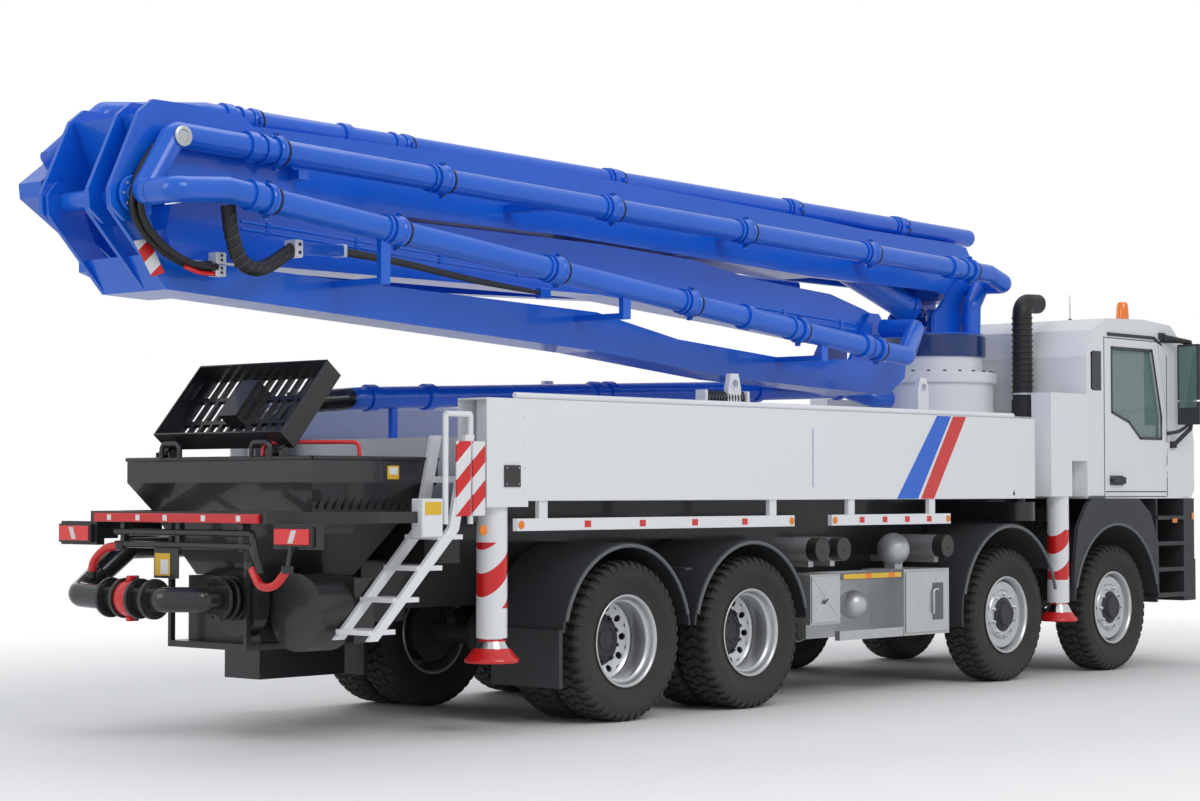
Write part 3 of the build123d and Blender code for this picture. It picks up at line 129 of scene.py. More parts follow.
def finish(name, colour, rough=0.4, metal=0.0, coat=0.0, tint=0.05, grain=9.0, bump=0.0, bump_scale=60.0,
           masks=(), dust=0.0, sheen=0.0):
    """A procedural finish: cloudy colour and gloss, a fine bump, and painted areas given by masks."""
    material = bpy.data.materials.new(name)
    material.use_nodes = True
    tree = material.node_tree
    shader = tree.nodes["Principled BSDF"]
    m = Maths(tree)
    where = tree.nodes.new("ShaderNodeTexCoord").outputs["Object"]
    axes = tree.nodes.new("ShaderNodeSeparateXYZ")
    tree.links.new(where, axes.inputs[0])
    m.x, m.y, m.z = axes.outputs

    def noise(scale, detail):
        node = tree.nodes.new("ShaderNodeTexNoise")
        node.inputs["Scale"].default_value = scale
        node.inputs["Detail"].default_value = detail
        tree.links.new(where, node.inputs["Vector"])
        return node.outputs["Fac"]

    cloud = noise(grain, 4.0)
    dark = tuple(c * (1 - tint) for c in colour)
    light = tuple(min(1.0, c * (1 + tint) + 0.004) for c in colour)
    base = m.mix(cloud, dark, light)
    for mask, painted in masks:
        base = m.mix(mask(m), base, painted)
    if dust:
        low = m.op("SUBTRACT", 1.0, m.op("MULTIPLY", m.z, 0.9))
        share = m.op("MULTIPLY", m.op("MAXIMUM", low, 0.0), m.op("MULTIPLY", noise(3.0, 6.0), dust))
        base = m.mix(share, base, (0.35, 0.33, 0.30))
    tree.links.new(base, shader.inputs["Base Color"])
    gloss = m.op("ADD", rough - 0.06, m.op("MULTIPLY", noise(grain * 2.3, 3.0), 0.12))
    tree.links.new(m.op("MAXIMUM", gloss, 0.03), shader.inputs["Roughness"])
    shader.inputs["Metallic"].default_value = metal
    shader.inputs["Coat Weight"].default_value = coat
    shader.inputs["Coat Roughness"].default_value = 0.06
    if sheen:
        shader.inputs["Sheen Weight"].default_value = sheen
    if bump:
        node = tree.nodes.new("ShaderNodeBump")
        node.inputs["Strength"].default_value = bump
        node.inputs["Distance"].default_value = 0.002
        tree.links.new(noise(bump_scale, 5.0), node.inputs["Height"])
        tree.links.new(node.outputs[0], shader.inputs["Normal"])
    return material


def diagonal(period, slope, share, low=None, high=None):
    """A mask of slanted stripes across the sides of the truck."""
    def mask(m):
        run = m.op("ADD", m.op("MULTIPLY", m.x, slope), m.z)
        stripes = m.op("LESS_THAN", m.op("FRACT", m.op("DIVIDE", run, period)), share)
        if low is None:
            return stripes
        return m.both(stripes, m.between(m.z, low, high))
    return mask


WHITE = (0.86, 0.87, 0.89)
BLUE = (0.0, 0.125, 0.70)
RED = (0.72, 0.012, 0.012)
F = {
    "white": finish("white_enamel", WHITE, 0.36, coat=0.35, tint=0.012, grain=2.0),
    "blue": finish("blue_enamel", BLUE, 0.30, coat=0.4, tint=0.10, grain=3.0, bump=0.05, bump_scale=18),
    "navy": finish("navy_enamel", (0.003, 0.03, 0.16), 0.3, coat=0.5, tint=0.08),
    "black": finish("black_enamel", (0.016, 0.017, 0.019), 0.38, coat=0.35, tint=0.3, grain=5,
                    bump=0.12, bump_scale=40),
    "dark": finish("dark_trim", (0.035, 0.038, 0.043), 0.55, tint=0.12, bump=0.25, bump_scale=220),
    "grey": finish("grey_trim", (0.13, 0.14, 0.15), 0.5, tint=0.1, bump=0.15, bump_scale=160),
    "rubber": finish("hose_rubber", (0.012, 0.012, 0.013), 0.5, tint=0.2, bump=0.2, bump_scale=90),
    "tyre": finish("tyre_rubber", (0.021, 0.021, 0.022), 0.78, tint=0.25, grain=14,
                   bump=0.35, bump_scale=130, dust=0.12),
    "silver": finish("silver_steel", (0.62, 0.63, 0.64), 0.33, metal=0.85, tint=0.08, grain=12,
                     bump=0.08, bump_scale=70),
    "alloy": finish("bare_aluminium", (0.58, 0.59, 0.60), 0.42, metal=0.7, tint=0.06, grain=6,
                    bump=0.1, bump_scale=50),
    "chrome": finish("ground_chrome", (0.78, 0.79, 0.80), 0.12, metal=1.0, tint=0.02),
    "cast": finish("cast_iron", (0.05, 0.052, 0.055), 0.6, metal=0.3, tint=0.25, grain=16,
                   bump=0.5, bump_scale=110, dust=0.25),
    "red": finish("red_enamel", RED, 0.32, coat=0.5, tint=0.08, bump=0.04, bump_scale=30),
    "orange": finish("orange_marker", (0.95, 0.24, 0.01), 0.3, coat=0.3, tint=0.1),
    "yellow": finish("yellow_paint", (0.85, 0.52, 0.02), 0.35, coat=0.3, tint=0.06),
    "seat": finish("seat_cloth", (0.03, 0.032, 0.036), 0.8, tint=0.2, bump=0.5, bump_scale=300, sheen=0.2),
    "slate": finish("slate_cover", (0.13, 0.20, 0.27), 0.35, coat=0.4, tint=0.1, grain=4),
}


def glass(name, colour, alpha):
    """A tinted, glossy pane or lens that lets some light through."""
    material = bpy.data.materials.new(name)
    material.use_nodes = True
    tree = material.node_tree
    shader = tree.nodes["Principled BSDF"]
    where = tree.nodes.new("ShaderNodeTexCoord").outputs["Object"]
    noise = tree.nodes.new("ShaderNodeTexNoise")
    noise.inputs["Scale"].default_value = 1.5
    tree.links.new(where, noise.inputs["Vector"])
    m = Maths(tree)
    tree.links.new(m.mix(noise.outputs["Fac"], colour, tuple(c * 1.25 for c in colour)),
        shader.inputs["Base Color"])
    shader.inputs["Roughness"].default_value = 0.04
    shader.inputs["Alpha"].default_value = alpha
    shader.inputs["Coat Weight"].default_value = 1.0
    return material


F["glass"] = glass("cab_glass_tint", (0.16, 0.27, 0.26), 0.62)
F["lens_red"] = glass("red_lens", (0.85, 0.01, 0.01), 0.95)
F["lens_white"] = glass("white_lens", (0.75, 0.75, 0.75), 0.9)
F["lens_amber"] = glass("amber_lens", (1.0, 0.22, 0.0), 0.9)

PIPE_TURNS_BLACK = -3.05 - DATUM_X
BLACK = (0.016, 0.017, 0.019)
F["pipe"] = finish("pump_pipe_enamel", BLUE, 0.28, coat=0.6, tint=0.1, grain=3.0,
                   masks=((lambda m: m.op("LESS_THAN", m.x, PIPE_TURNS_BLACK), BLACK),))
F["leg"] = finish("striped_white_enamel", WHITE, 0.36, coat=0.35, tint=0.012, grain=2.0,
                  masks=((diagonal(0.30, -0.9, 0.5, 0.80, 1.22), RED),))
F["chevron"] = finish("striped_plate", (0.85, 0.85, 0.86), 0.4, coat=0.3, tint=0.02,
                      masks=((diagonal(0.22, -0.9, 0.5), RED),))
F["tread"] = finish("tread_plate_black", (0.022, 0.023, 0.026), 0.32, coat=0.5, tint=0.3, bump=0.9,
    bump_scale=55)

FINISH_OF = {
    "frame_rails": "black", "front_axles": "cast", "rear_axles": "cast", "bogie_springs": "black",
    "engine_block": "cast", "cab_body": "white", "cab_interior": "seat", "cab_glass": "glass",
    "door_glass_right": "glass", "door_glass_left": "glass", "mirrors": "dark", "front_bumper": "dark",
    "fenders": "dark", "subframe": "black", "front_housing": "white", "deck": "white", "pedestal": "white",
    "side_tanks": "alloy", "air_intake": "rubber", "hopper": "tread", "pump_unit": "black",
    "delivery_pipe": "pipe", "rear_frame": "black", "ladder": "white", "hopper_grate": "black",
    "lift_rod": "chrome", "turret": "blue", "lift_barrel": "blue",
}
for name, node in NODES.items():
    key = FINISH_OF.get(name)
    if key is None:
        key = "blue" if name.startswith("boom") else "white"
    if "knuckle" in name:
        key = "cast"
    if "outrigger" in name:
        key = "leg"
    if "jack" in name:
        key = "chrome"
    node.data.materials.clear()
    node.data.materials.append(F[key])
    node.data.shade_smooth()
    node.data.set_sharp_from_angle(angle=math.radians(32))

# ------------------------ mesh building
PIECES = []


def across(direction):
    """Two unit vectors square to a direction and to each other."""
    direction = Vector(direction).normalized()
    guide = Vector((0, 0, 1)) if abs(direction.z) < 0.9 else Vector((1, 0, 0))
    first = direction.cross(guide).normalized()
    return first, direction.cross(first).normalized()


def rounded(points, bend, steps=6):
    """The route through the points with each corner turned into an arc of about that radius."""
    points = [Vector(p) for p in points]
    out = [points[0]]
    for before, corner, after in zip(points, points[1:], points[2:]):
        back, ahead = before - corner, after - corner
        turn = math.pi - back.angle(ahead)
        if turn < 0.02:
            out.append(corner)
            continue
        cut = min(bend * math.tan(turn / 2), back.length * 0.48, ahead.length * 0.48)
        start, end = corner + back.normalized() * cut, corner + ahead.normalized() * cut
        for i in range(steps + 1):
            t = i / steps
            out.append(start * (1 - t) ** 2 + corner * 2 * t * (1 - t) + end * t ** 2)
    return out + [points[-1]]


def eased(points, steps=7):
    """A smooth line through the points, for a hose."""
    points = [Vector(p) for p in points]
    padded = [points[0] * 2 - points[1]] + points + [points[-1] * 2 - points[-2]]
    out = []
    for a, b, c, d in zip(padded, padded[1:], padded[2:], padded[3:]):
        for i in range(steps):
            t = i / steps
            out.append(0.5 * (2 * b + (c - a) * t + (2 * a - 5 * b + 4 * c - d) * t * t
                              + (3 * b - a - 3 * c + d) * t ** 3))
    return out + [points[-1]]


class Piece:
    """Meshes of a few finishes, gathered into one object that rides on one body."""

    def __init__(self, name, body, key, replaces=(), slot=None, angle=32):
        self.name, self.body, self.replaced, self.slot, self.angle = name, body, replaces, slot, angle
        self.keys, self.ink = [key], 0
        self.points, self.faces, self.inks = [], [], []
        PIECES.append(self)

    def use(self, key):
        if key not in self.keys:
            self.keys.append(key)
        self.ink = self.keys.index(key)
        return self

    def add(self, points, faces):
        base = len(self.points)
        self.points.extend(Vector(p) for p in points)
        for face in faces:
            self.faces.append([base + i for i in face])
            self.inks.append(self.ink)

    def rings(self, rings, caps=True):
        """Quads between rings of equally many points."""
        count = len(rings[0])
        faces = []
        for i in range(len(rings) - 1):
            a, b = i * count, (i + 1) * count
            for k in range(count):
                n = (k + 1) % count
                faces.append((a + k, a + n, b + n, b + k))
        if caps:
            faces.append(tuple(range(count)))
            faces.append(tuple(range((len(rings) - 1) * count, len(rings) * count)))
        self.add([p for ring in rings for p in ring], faces)

    def tube(self, route, radius, sides=14, bend=None, caps=True):
        """A round bar or pipe along a route; radius is one value or one for each point."""
        path = rounded(route, bend) if bend else [Vector(p) for p in route]
        first, second = across(path[1] - path[0])
        rings = []
        for i, point in enumerate(path):
            ahead = path[min(i + 1, len(path) - 1)] - path[max(i - 1, 0)]
            ahead.normalize()
            first = (first - ahead * first.dot(ahead)).normalized()
            second = ahead.cross(first)
            r = radius[i] if isinstance(radius, (list, tuple)) else radius
            rings.append([point + (first * math.cos(a) + second * math.sin(a)) * r
                          for a in (2 * math.pi * k / sides for k in range(sides))])
        self.rings(rings, caps=caps)

    def lathe(self, centre, axis, profile, sides=40, caps=True):
        """A turned form: profile is (along the axis, radius) from one end to the other."""
        axis = Vector(axis).normalized()
        first, second = across(axis)
        centre = Vector(centre)
        points, faces, rows = [], [], []
        for along, radius in profile:
            if radius < 0.01:
                rows.append([len(points)])
                points.append(centre + axis * along)
                continue
            rows.append(list(range(len(points), len(points) + sides)))
            points += [centre + axis * along + (first * math.cos(a) + second * math.sin(a)) * radius
                       for a in (2 * math.pi * k / sides for k in range(sides))]
        for low, high in zip(rows, rows[1:]):
            for k in range(sides):
                n = (k + 1) % sides
                if len(low) == 1 and len(high) > 1:
                    faces.append((low[0], high[n], high[k]))
                elif len(high) == 1 and len(low) > 1:
                    faces.append((low[k], low[n], high[0]))
                elif len(low) > 1:
                    faces.append((low[k], low[n], high[n], high[k]))
        for row in (rows[0], rows[-1]) if caps else ():
            if len(row) > 1:
                faces.append(tuple(row))
        self.add(points, faces)

    def collar(self, centre, axis, profile, sides=40):
        """A turned form left open at both ends, such as a band round a pipe."""
        self.lathe(centre, axis, profile, sides, caps=False)

    def box(self, x, y, z, bevel=4.0):
        """A box with chamfered edges, from (low, high) pairs."""
        spans = [sorted(x), sorted(y), sorted(z)]
        bevel = min(bevel, *(0.3 * (high - low) for low, high in spans))
        signs = [(i, j, k) for i in (0, 1) for j in (0, 1) for k in (0, 1)]
        points = []
        for corner in signs:
            for axis in range(3):
                point = []
                for a in range(3):
                    inset = 0 if a == axis else bevel
                    point.append(spans[a][1] - inset if corner[a] else spans[a][0] + inset)
                points.append(point)
        spot = {corner: 3 * i for i, corner in enumerate(signs)}
        faces = [tuple(spot[c] + a for a in range(3)) for c in signs]
        for axis in range(3):
            u, v = (axis + 1) % 3, (axis + 2) % 3
            for end in (0, 1):
                loop = []
                for su, sv in ((0, 0), (1, 0), (1, 1), (0, 1)):
                    corner = [0, 0, 0]
                    corner[axis], corner[u], corner[v] = end, su, sv
                    loop.append(spot[tuple(corner)] + axis)
                faces.append(tuple(loop))
            for su, sv in ((0, 0), (1, 0), (1, 1), (0, 1)):
                low, high = [0, 0, 0], [0, 0, 0]
                low[u] = high[u] = su
                low[v] = high[v] = sv
                low[axis], high[axis] = 0, 1
                low, high = spot[tuple(low)], spot[tuple(high)]
                faces.append((low + u, high + u, high + v, low + v))
        self.add(points, faces)

    def slab(self, outline, axis, low, high, bevel=3.0):
        """A plate whose outline is drawn square to the axis: (x, z) for y, (y, z) for x, (x, y) for z."""
        low, high = min(low, high), max(low, high)
        area = sum(a[0] * b[1] - b[0] * a[1] for a, b in zip(outline, outline[1:] + outline[:1]))
        outline = outline if area > 0 else outline[::-1]
        bevel = min(bevel, 0.3 * (high - low))
        inner = []
        count = len(outline)
        for i in range(count):
            before, point, after = (Vector(outline[(i + s) % count]) for s in (-1, 0, 1))
            n1 = Vector(((point - before).y, -(point - before).x)).normalized()
            n2 = Vector(((after - point).y, -(after - point).x)).normalized()
            mean = n1 + n2
            mean = mean.normalized() if mean.length > 0.2 else n1
            inner.append(point - mean * bevel / max(0.4, mean.dot(n1)))

        def lift(point, level):
            if axis == "y":
                return (point[0], level, point[1])
            if axis == "x":
                return (level, point[0], point[1])
            return (point[0], point[1], level)

        self.rings([[lift(p, low) for p in inner], [lift(p, low + bevel) for p in outline],
                    [lift(p, high - bevel) for p in outline], [lift(p, high) for p in inner]])

    def bar(self, start, end, width, height, bevel=3.0, up=(0, 0, 1)):
        """A rectangular bar between two points."""
        start, end, up = Vector(start), Vector(end), Vector(up)
        run = (end - start).normalized()
        side = run.cross(up)
        side = side.normalized() if side.length > 0.05 else run.cross(Vector((1, 0, 0))).normalized()
        top = side.cross(run).normalized()
        w, h = width / 2, height / 2
        b = min(bevel, w * 0.5, h * 0.5)
        outline = [(-w + b, -h), (w - b, -h), (w, -h + b), (w, h - b), (w - b, h), (-w + b, h), (-w, h - b),
            (-w, -h + b)]
        self.rings([[p + side * u + top * v for u, v in outline] for p in (start, end)])

    def bolts(self, centres, axis, radius=13.0, height=11.0, washer=True):
        """Hexagon heads that stand out along the axis."""
        for centre in centres:
            if washer:
                self.lathe(centre, axis, [(0, radius * 1.5), (2.5, radius * 1.5), (3, radius * 1.4), (3, 0)],
                    16)
            self.lathe(centre, axis, [(1, radius), (height - 2, radius), (height, radius * 0.82),
                (height, 0)], 6)

    def ring_bolts(self, centre, axis, circle, count, radius=13.0, height=11.0, phase=0.0, washer=True):
        first, second = across(axis)
        spots = [Vector(centre) + (first * math.cos(a) + second * math.sin(a)) * circle
                 for a in (phase + 2 * math.pi * k / count for k in range(count))]
        self.bolts(spots, axis, radius, height, washer)

    def build(self):
        mesh = bpy.data.meshes.new(self.name)
        mesh.from_pydata([place(*p) for p in self.points], [], self.faces)
        for key in self.keys:
            mesh.materials.append(F[key])
        for polygon, ink in zip(mesh.polygons, self.inks):
            polygon.material_index = ink
        work = bmesh.new()
        work.from_mesh(mesh)
        bmesh.ops.recalc_face_normals(work, faces=work.faces)
        work.to_mesh(mesh)
        work.free()
        mesh.shade_smooth()
        mesh.set_sharp_from_angle(angle=math.radians(self.angle))
        obj = bpy.data.objects.new(self.name, mesh)
        bpy.context.scene.collection.objects.link(obj)
        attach(obj, self.body)
        if self.replaced:
            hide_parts(*self.replaced)
        return obj


# ------------------------ wheels
TREAD_PITCHES = 46
GROOVE = 17.0
STUDS = 10
STUD_CIRCLE = 167.5


def tyre(piece, x, y, side):
    """One tyre about the axle, its middle at y; side is the way its outer face looks."""
    floor_radius = TYRE_RADIUS - GROOVE
    piece.use("tyre")
    half = [(112, 290), (118, 300), (119, 322), (128, 344), (128, 350), (141, 376), (152, 405), (157.5, 432),
        (155, 462), (153, 466), (153, 470), (149, 490), (142, 508), (118, floor_radius)]
    profile = [(-a, r) for a, r in half] + [(a, r) for a, r in reversed(half)]
    sides = 64
    axis = (0, side, 0)
    first, second = across(axis)
    centre = Vector((x, y, TYRE_RADIUS))

    def spot(angle, along, radius):
        return centre + (first * math.cos(angle) + second * math.sin(angle)) * radius + Vector(axis) * along

    piece.rings([[spot(2 * math.pi * k / sides, a, r) for k in range(sides)] for a, r in profile], caps=False)
    pitch = 2 * math.pi / TREAD_PITCHES
    rows = ((2, 62, 0.0, 0.30), (-62, -2, 0.5, -0.30))
    for k in range(TREAD_PITCHES):
        for low, high, shift, skew in rows:
            start = (k + shift) * pitch
            lean = skew * pitch
            base = [(start + 0.10 * pitch, low), (start + 0.90 * pitch, low),
                    (start + 0.90 * pitch + lean, high), (start + 0.10 * pitch + lean, high)]
            mid_a = sum(p[0] for p in base) / 4
            mid_s = (low + high) / 2
            top = [(mid_a + (a - mid_a) * 0.88, mid_s + (s - mid_s) * 0.93) for a, s in base]
            piece.rings([[spot(a, s, floor_radius - 2) for a, s in base],
                [spot(a, s, TYRE_RADIUS - 1) for a, s in top]])
        for way in (-1, 1):
            start = (k + 0.25 + 0.25 * way) * pitch
            shoulder = [(70, floor_radius - 2), (74, TYRE_RADIUS - 1), (117, TYRE_RADIUS - 3),
                (137, TYRE_RADIUS - 14), (151, 505), (153, 486), (140, 484)]
            wide = (0.10, 0.74)
            near = [spot(start + wide[0] * pitch + (0.10 * pitch if r > 520 else 0), way * s, r)
                    for s, r in shoulder]
            far = [spot(start + wide[1] * pitch - (0.04 * pitch if r > 520 else 0), way * s, r)
                   for s, r in shoulder]
            piece.rings([near, far])


def holed_ring(piece, centre, axis, outer, inner, count, hole, phase=0.0, depth=14.0):
    """A conical ring from (along, radius) outer to inner, with round holes whose edges are turned in."""
    first, second = across(axis)
    axis = Vector(axis)
    centre = Vector(centre)
    steps = 16
    mid = (outer[1] + inner[1]) / 2
    sector = 2 * math.pi / count

    def spot(angle, radius, drop=0.0):
        share = (outer[1] - radius) / (outer[1] - inner[1])
        along = outer[0] + (inner[0] - outer[0]) * share - drop
        return centre + (first * math.cos(angle) + second * math.sin(angle)) * radius + axis * along

    for k in range(count):
        heart = phase + k * sector
        edge, rim = [], []
        for i in range(steps):
            a = 2 * math.pi * (i + 0.5) / steps
            c, s = math.cos(a), math.sin(a)
            scale = 1 / max(abs(c), abs(s))
            radius = mid + (outer[1] - mid) * max(-1, min(1, c * scale))
            edge.append((heart + sector / 2 * max(-1, min(1, s * scale)), radius))
            rim.append((heart + hole * s / mid, mid + hole * c))
        rows = [[spot(a, r) for a, r in edge], [spot(a, r) for a, r in rim],
            [spot(a, r, depth) for a, r in rim]]
        piece.rings(rows, caps=False)


def wheel_rear_face(piece, centre, out, start):
    """The rim's plain inner side and disc, from the given place along the axle inward."""
    piece.use("silver").collar(centre, out, [(start - 252, 312), (start - 258, 308), (start - 258, 298),
        (start - 246, 284), (start - 60, 278), (start - 40, 262), (start - 46, 200), (start - 46, 60)], 48)


for row, axle_x in enumerate(AXLES):
    for side_name, side in SIDES:
        out = Vector((0, side, 0))
        twin = row > 1
        body = f"{'twin' if twin else 'front'}_wheel_{row + 1}_{side_name}"
        wheel = Piece(f"tyre_and_rim_{row + 1}_{side_name}", body, "tyre", replaces=(body,), slot="tyre",
            angle=30)
        turn = random.uniform(0, 1)
        if not twin:
            centre = Vector((axle_x, side * FRONT_TYRE_Y, TYRE_RADIUS))
            tyre(wheel, axle_x, side * FRONT_TYRE_Y, side)
            wheel.use("silver")
            wheel.collar(centre, out, [(112, 289), (119, 306), (125, 312), (131, 312), (134, 308), (133, 301),
                (126, 293), (112, 287), (60, 283), (44, 279), (30, 274), (34, 266), (44, 259), (44, 240),
                (20, 238), (20, 284), (112, 289)], 64)
            holed_ring(wheel, centre, out, (44, 260), (88, 200), STUDS, 19, turn)
            wheel.collar(centre, out, [(88, 200), (97, 193), (101, 186), (102, 150), (101, 140), (90, 130),
                (60, 130)], 64)
            wheel.ring_bolts(centre + out * 101, out, STUD_CIRCLE, STUDS, 15, 24, turn + 0.31)
            wheel.use("dark").lathe(centre, out, [(88, 131), (104, 127), (108, 122), (108, 108), (114, 102),
                (136, 97), (142, 90), (143, 70), (138, 64), (138, 22), (141, 18), (141, 0)], 48)
            wheel.ring_bolts(centre + out * 142, out, 80, 6, 6, 5, 0.2, washer=False)
            wheel_rear_face(wheel, centre, out, 130)
            wheel.use("cast").lathe(centre, out, [(-140, 60), (-140, 205), (-40, 205), (-30, 190), (-30, 60)],
                40)
        else:
            centre = Vector((axle_x, side * TWIN_Y, TYRE_RADIUS))
            for offset in (-TWIN_PITCH / 2, TWIN_PITCH / 2):
                tyre(wheel, axle_x, side * (TWIN_Y + offset), side)
            wheel.use("silver")
            wheel.collar(centre, out, [(287, 289), (294, 306), (299, 312), (305, 312), (308, 307), (306, 300),
                (299, 293), (285, 287), (262, 283), (252, 275), (246, 264), (236, 260), (150, 257),
                (138, 259), (128, 268), (116, 271), (100, 268), (92, 258), (86, 247), (60, 247), (60, 280),
                (287, 289)], 64)
            holed_ring(wheel, centre, out, (86, 249), (58, 178), 10, 24, turn, 16)
            wheel.use("dark").lathe(centre, out, [(58, 178), (64, 176), (66, 170), (66, 150), (70, 144),
                (86, 142), (92, 136), (96, 124), (108, 118), (114, 108), (116, 92), (108, 88), (108, 66),
                (116, 62), (116, 30), (111, 24), (111, 0)], 48)
            wheel.ring_bolts(centre + out * 64, out, STUD_CIRCLE - 8, STUDS, 14, 26, turn + 0.31)
            wheel.ring_bolts(centre + out * 108, out, 77, 8, 7, 6, 0.1, washer=False)
            wheel_rear_face(wheel, centre, out, -45)
            wheel.use("silver").collar(centre, out, [(45, 312), (40, 300), (-40, 300), (-45, 312)], 40)
            wheel.use("cast").lathe(centre, out, [(-290, 60), (-290, 215), (-120, 215), (-110, 190),
                (-110, 60)], 40)


# ------------------------ boom pipes, clamps and hoses
def along(start, end, share):
    """The point at that share of the way from start to end."""
    return Vector(start).lerp(Vector(end), share)


CLAMP_WIDTH = 46


def clamp(piece, centre, direction, radius, flat=False):
    """A two-part pipe clamp: a ribbed band with two bolted ears, beside the pipe when flat."""
    first, second = across(direction)
    if flat:
        first, second = second, first
    rise = 11 if flat else 20
    direction = Vector(direction).normalized()
    w = CLAMP_WIDTH / 2
    piece.use("blue").collar(centre, direction, [(-w, radius), (-w, radius + rise - 6),
        (-w + 10, radius + rise), (-6, radius + rise), (0, radius + rise - 5), (6, radius + rise),
        (w - 10, radius + rise), (w, radius + rise - 6), (w, radius)], 36)
    for way in (-1, 1):
        ear = Vector(centre) + second * way * (radius + 26)
        piece.use("blue").bar(ear - first * 16, ear + first * 16, 30, 24, up=direction)
        piece.use("dark").lathe(ear - first * 22, first, [(0, 0), (0, 8), (44, 8), (44, 0)], 8)


def clamped_run(piece, start, end, shares, radius, flat=False):
    """Clamps with their end bands, at each share of a straight pipe."""
    run = (Vector(end) - Vector(start)).normalized()
    for share in shares:
        centre = along(start, end, share)
        clamp(piece, centre + run * 46, run, radius + 1, flat=flat)
        for way in (-1, 1):
            piece.use("blue").collar(centre + run * way * 70, run, [(-9, radius), (-9, radius + 11),
                (9, radius + 11), (9, radius)], 36)
        piece.use("dark").collar(centre + run * 100, run, [(-5, radius), (-5, radius + 7), (5, radius + 7),
            (5, radius)], 36)


runs = (
    ("boom_1", (-5000, -600, 3650), (3480, -600, 3400), (0.05, 0.22, 0.42, 0.60, 0.79, 0.96), 79),
    ("boom_2", (-5170, -900, 3320), (1560, -900, 2640), (0.04, 0.2, 0.42, 0.63, 0.82, 0.97), 79),
    ("boom_4", (-4300, 370, 3990), (4380, 370, 3860), (0.04, 0.2, 0.46, 0.72, 0.9), 79),
    ("boom_5", (-200, 635, 3885), (4280, 635, 3795), (0.12, 0.5, 0.9), 71),
    ("boom_6", (-4500, 875, 3230), (2500, 875, 3320), (0.1, 0.35, 0.6, 0.85), 67),
)
for body, start, end, shares, radius in runs:
    clamped_run(Piece(f"{body}_clamps", body, "blue", slot="blue_paint"), start, end, shares, radius,
                flat=body == "boom_4")

rear_end = Piece("boom_1_rear_end", "boom_1", "blue", slot="blue_paint")
rear_end.use("silver").lathe((-5520, -690, 3300), RIGHT, [(0, 66), (14, 66), (20, 60), (20, 44), (10, 40),
    (4, 0)], 32)
for lane in (0, 1, 2):
    y = -560 - 46 * (lane % 2)
    shift = 24 * lane
    rear_end.use("rubber").tube(eased([(-5431 + shift, y, 3587), (-5555 + shift, y, 3398),
        (-5589 + shift, y, 3189), (-5464 + shift, y, 3022), (-5239 + shift, y, 2908),
        (-4995, y, 2864 + shift)]), 21, 12)
for z in (2836, 2912):
    rear_end.use("white").box((-5010, -4930), (-620, -540), (z, z + 70), 6)
    rear_end.use("dark").bolts([(-4970, -620, z + 22), (-4970, -620, z + 50)], RIGHT, 10, 5, washer=False)
rear_end.use("red").tube(eased([(-5230, -590, 2880), (-5120, -600, 2850), (-5000, -600, 2850)]), 14, 10)
rear_end.use("chevron").slab([(-5550, 3014), (-5440, 3034), (-5320, 2841), (-5416, 2811)], "y", -517, -520,
    0.4)
rear_end.use("silver").lathe((-5319, -680, 3641), RIGHT, [(0, 50), (0, 62), (10, 62), (14, 54), (14, 40),
    (4, 34), (4, 0)], 32)
rear_end.use("blue").lathe((-5550, -516, 3290), RIGHT, [(0, 112), (10, 112), (16, 104), (16, 62), (22, 58),
    (22, 0)], 40)
rear_end.use("silver").ring_bolts((-5550, -530, 3290), RIGHT, 84, 8, 9, 9, washer=False)

big_hose = Piece("boom_2_rear_hose", "boom_2", "rubber", slot="dark_plastic")
hose_route = [(-5041, -760, 3250), (-5009, -760, 3073), (-4914, -740, 2919), (-4722, -700, 2898),
    (-4430, -640, 3033)]
big_hose.tube(eased(hose_route, 9), 46, 18)
for spot in eased(hose_route, 3)[1:-1]:
    big_hose.use("dark").collar((spot.x, spot.y, spot.z), (0.5, 0, -0.5), [(-7, 46), (-7, 51), (7, 51),
        (7, 46)], 20)
big_hose.use("white").box((-4450, -4385), (-700, -585), (2985, 3095), 8)
big_hose.use("dark").bolts([(-4418, -700, z) for z in (3015, 3065)], RIGHT, 13, 6, washer=False)
big_hose.use("blue").bar((-4385, -640, 3042), (-3990, -600, 3062), 60, 74, 8)
big_hose.use("white").box((-3995, -3925), (-600, -520), (3026, 3106), 6)
for lane in (0, 1, 2):
    big_hose.use("rubber").tube(eased([(-3940, -560 + 18 * lane, 3050 + 16 * lane),
        (-3432, -552 + 18 * lane, 3020 + 14 * lane), (-2690, -530 + 18 * lane, 2950 + 12 * lane),
        (-2000, -500, 2915)]), 14, 10)
big_hose.use("blue").box((-2050, -1950), (-530, -462), (2880, 2950), 6)
for lane in (0, 1):
    big_hose.use("blue").tube([(-4700, -474, 3200 - 46 * lane), (1700, -474, 2890 - 46 * lane)], 10, 8)
    for k in range(9):
        x = -4500 + 750 * k
        z = 3200 - 46 * lane - (x + 4700) * 0.0484
        big_hose.use("blue").box((x, x + 36), (-490, -462), (z - 18, z + 18), 4)

# ------------------------ turret and pedestal
TURRET_X = 3520.0
band = Piece("turret_trim", "turret", "navy", slot="blue_paint")
band.use("navy").collar((TURRET_X, 0, 2700), Z, [(2, 438), (2, 450), (8, 456), (180, 456), (188, 450),
    (188, 438)], 96)
band.use("blue").ring_bolts((TURRET_X, 0, 2900), Z, 418, 28, 11, 8, washer=False)
flange = Piece("pedestal_flange", "chassis", "white", slot="white_paint")
flange.collar((TURRET_X, 0, 2470), Z, [(0, 470), (0, 545), (8, 552), (86, 552), (94, 545), (94, 470)], 96)
flange.use("dark").ring_bolts((TURRET_X, 0, 2564), Z, 520, 24, 15, 14)

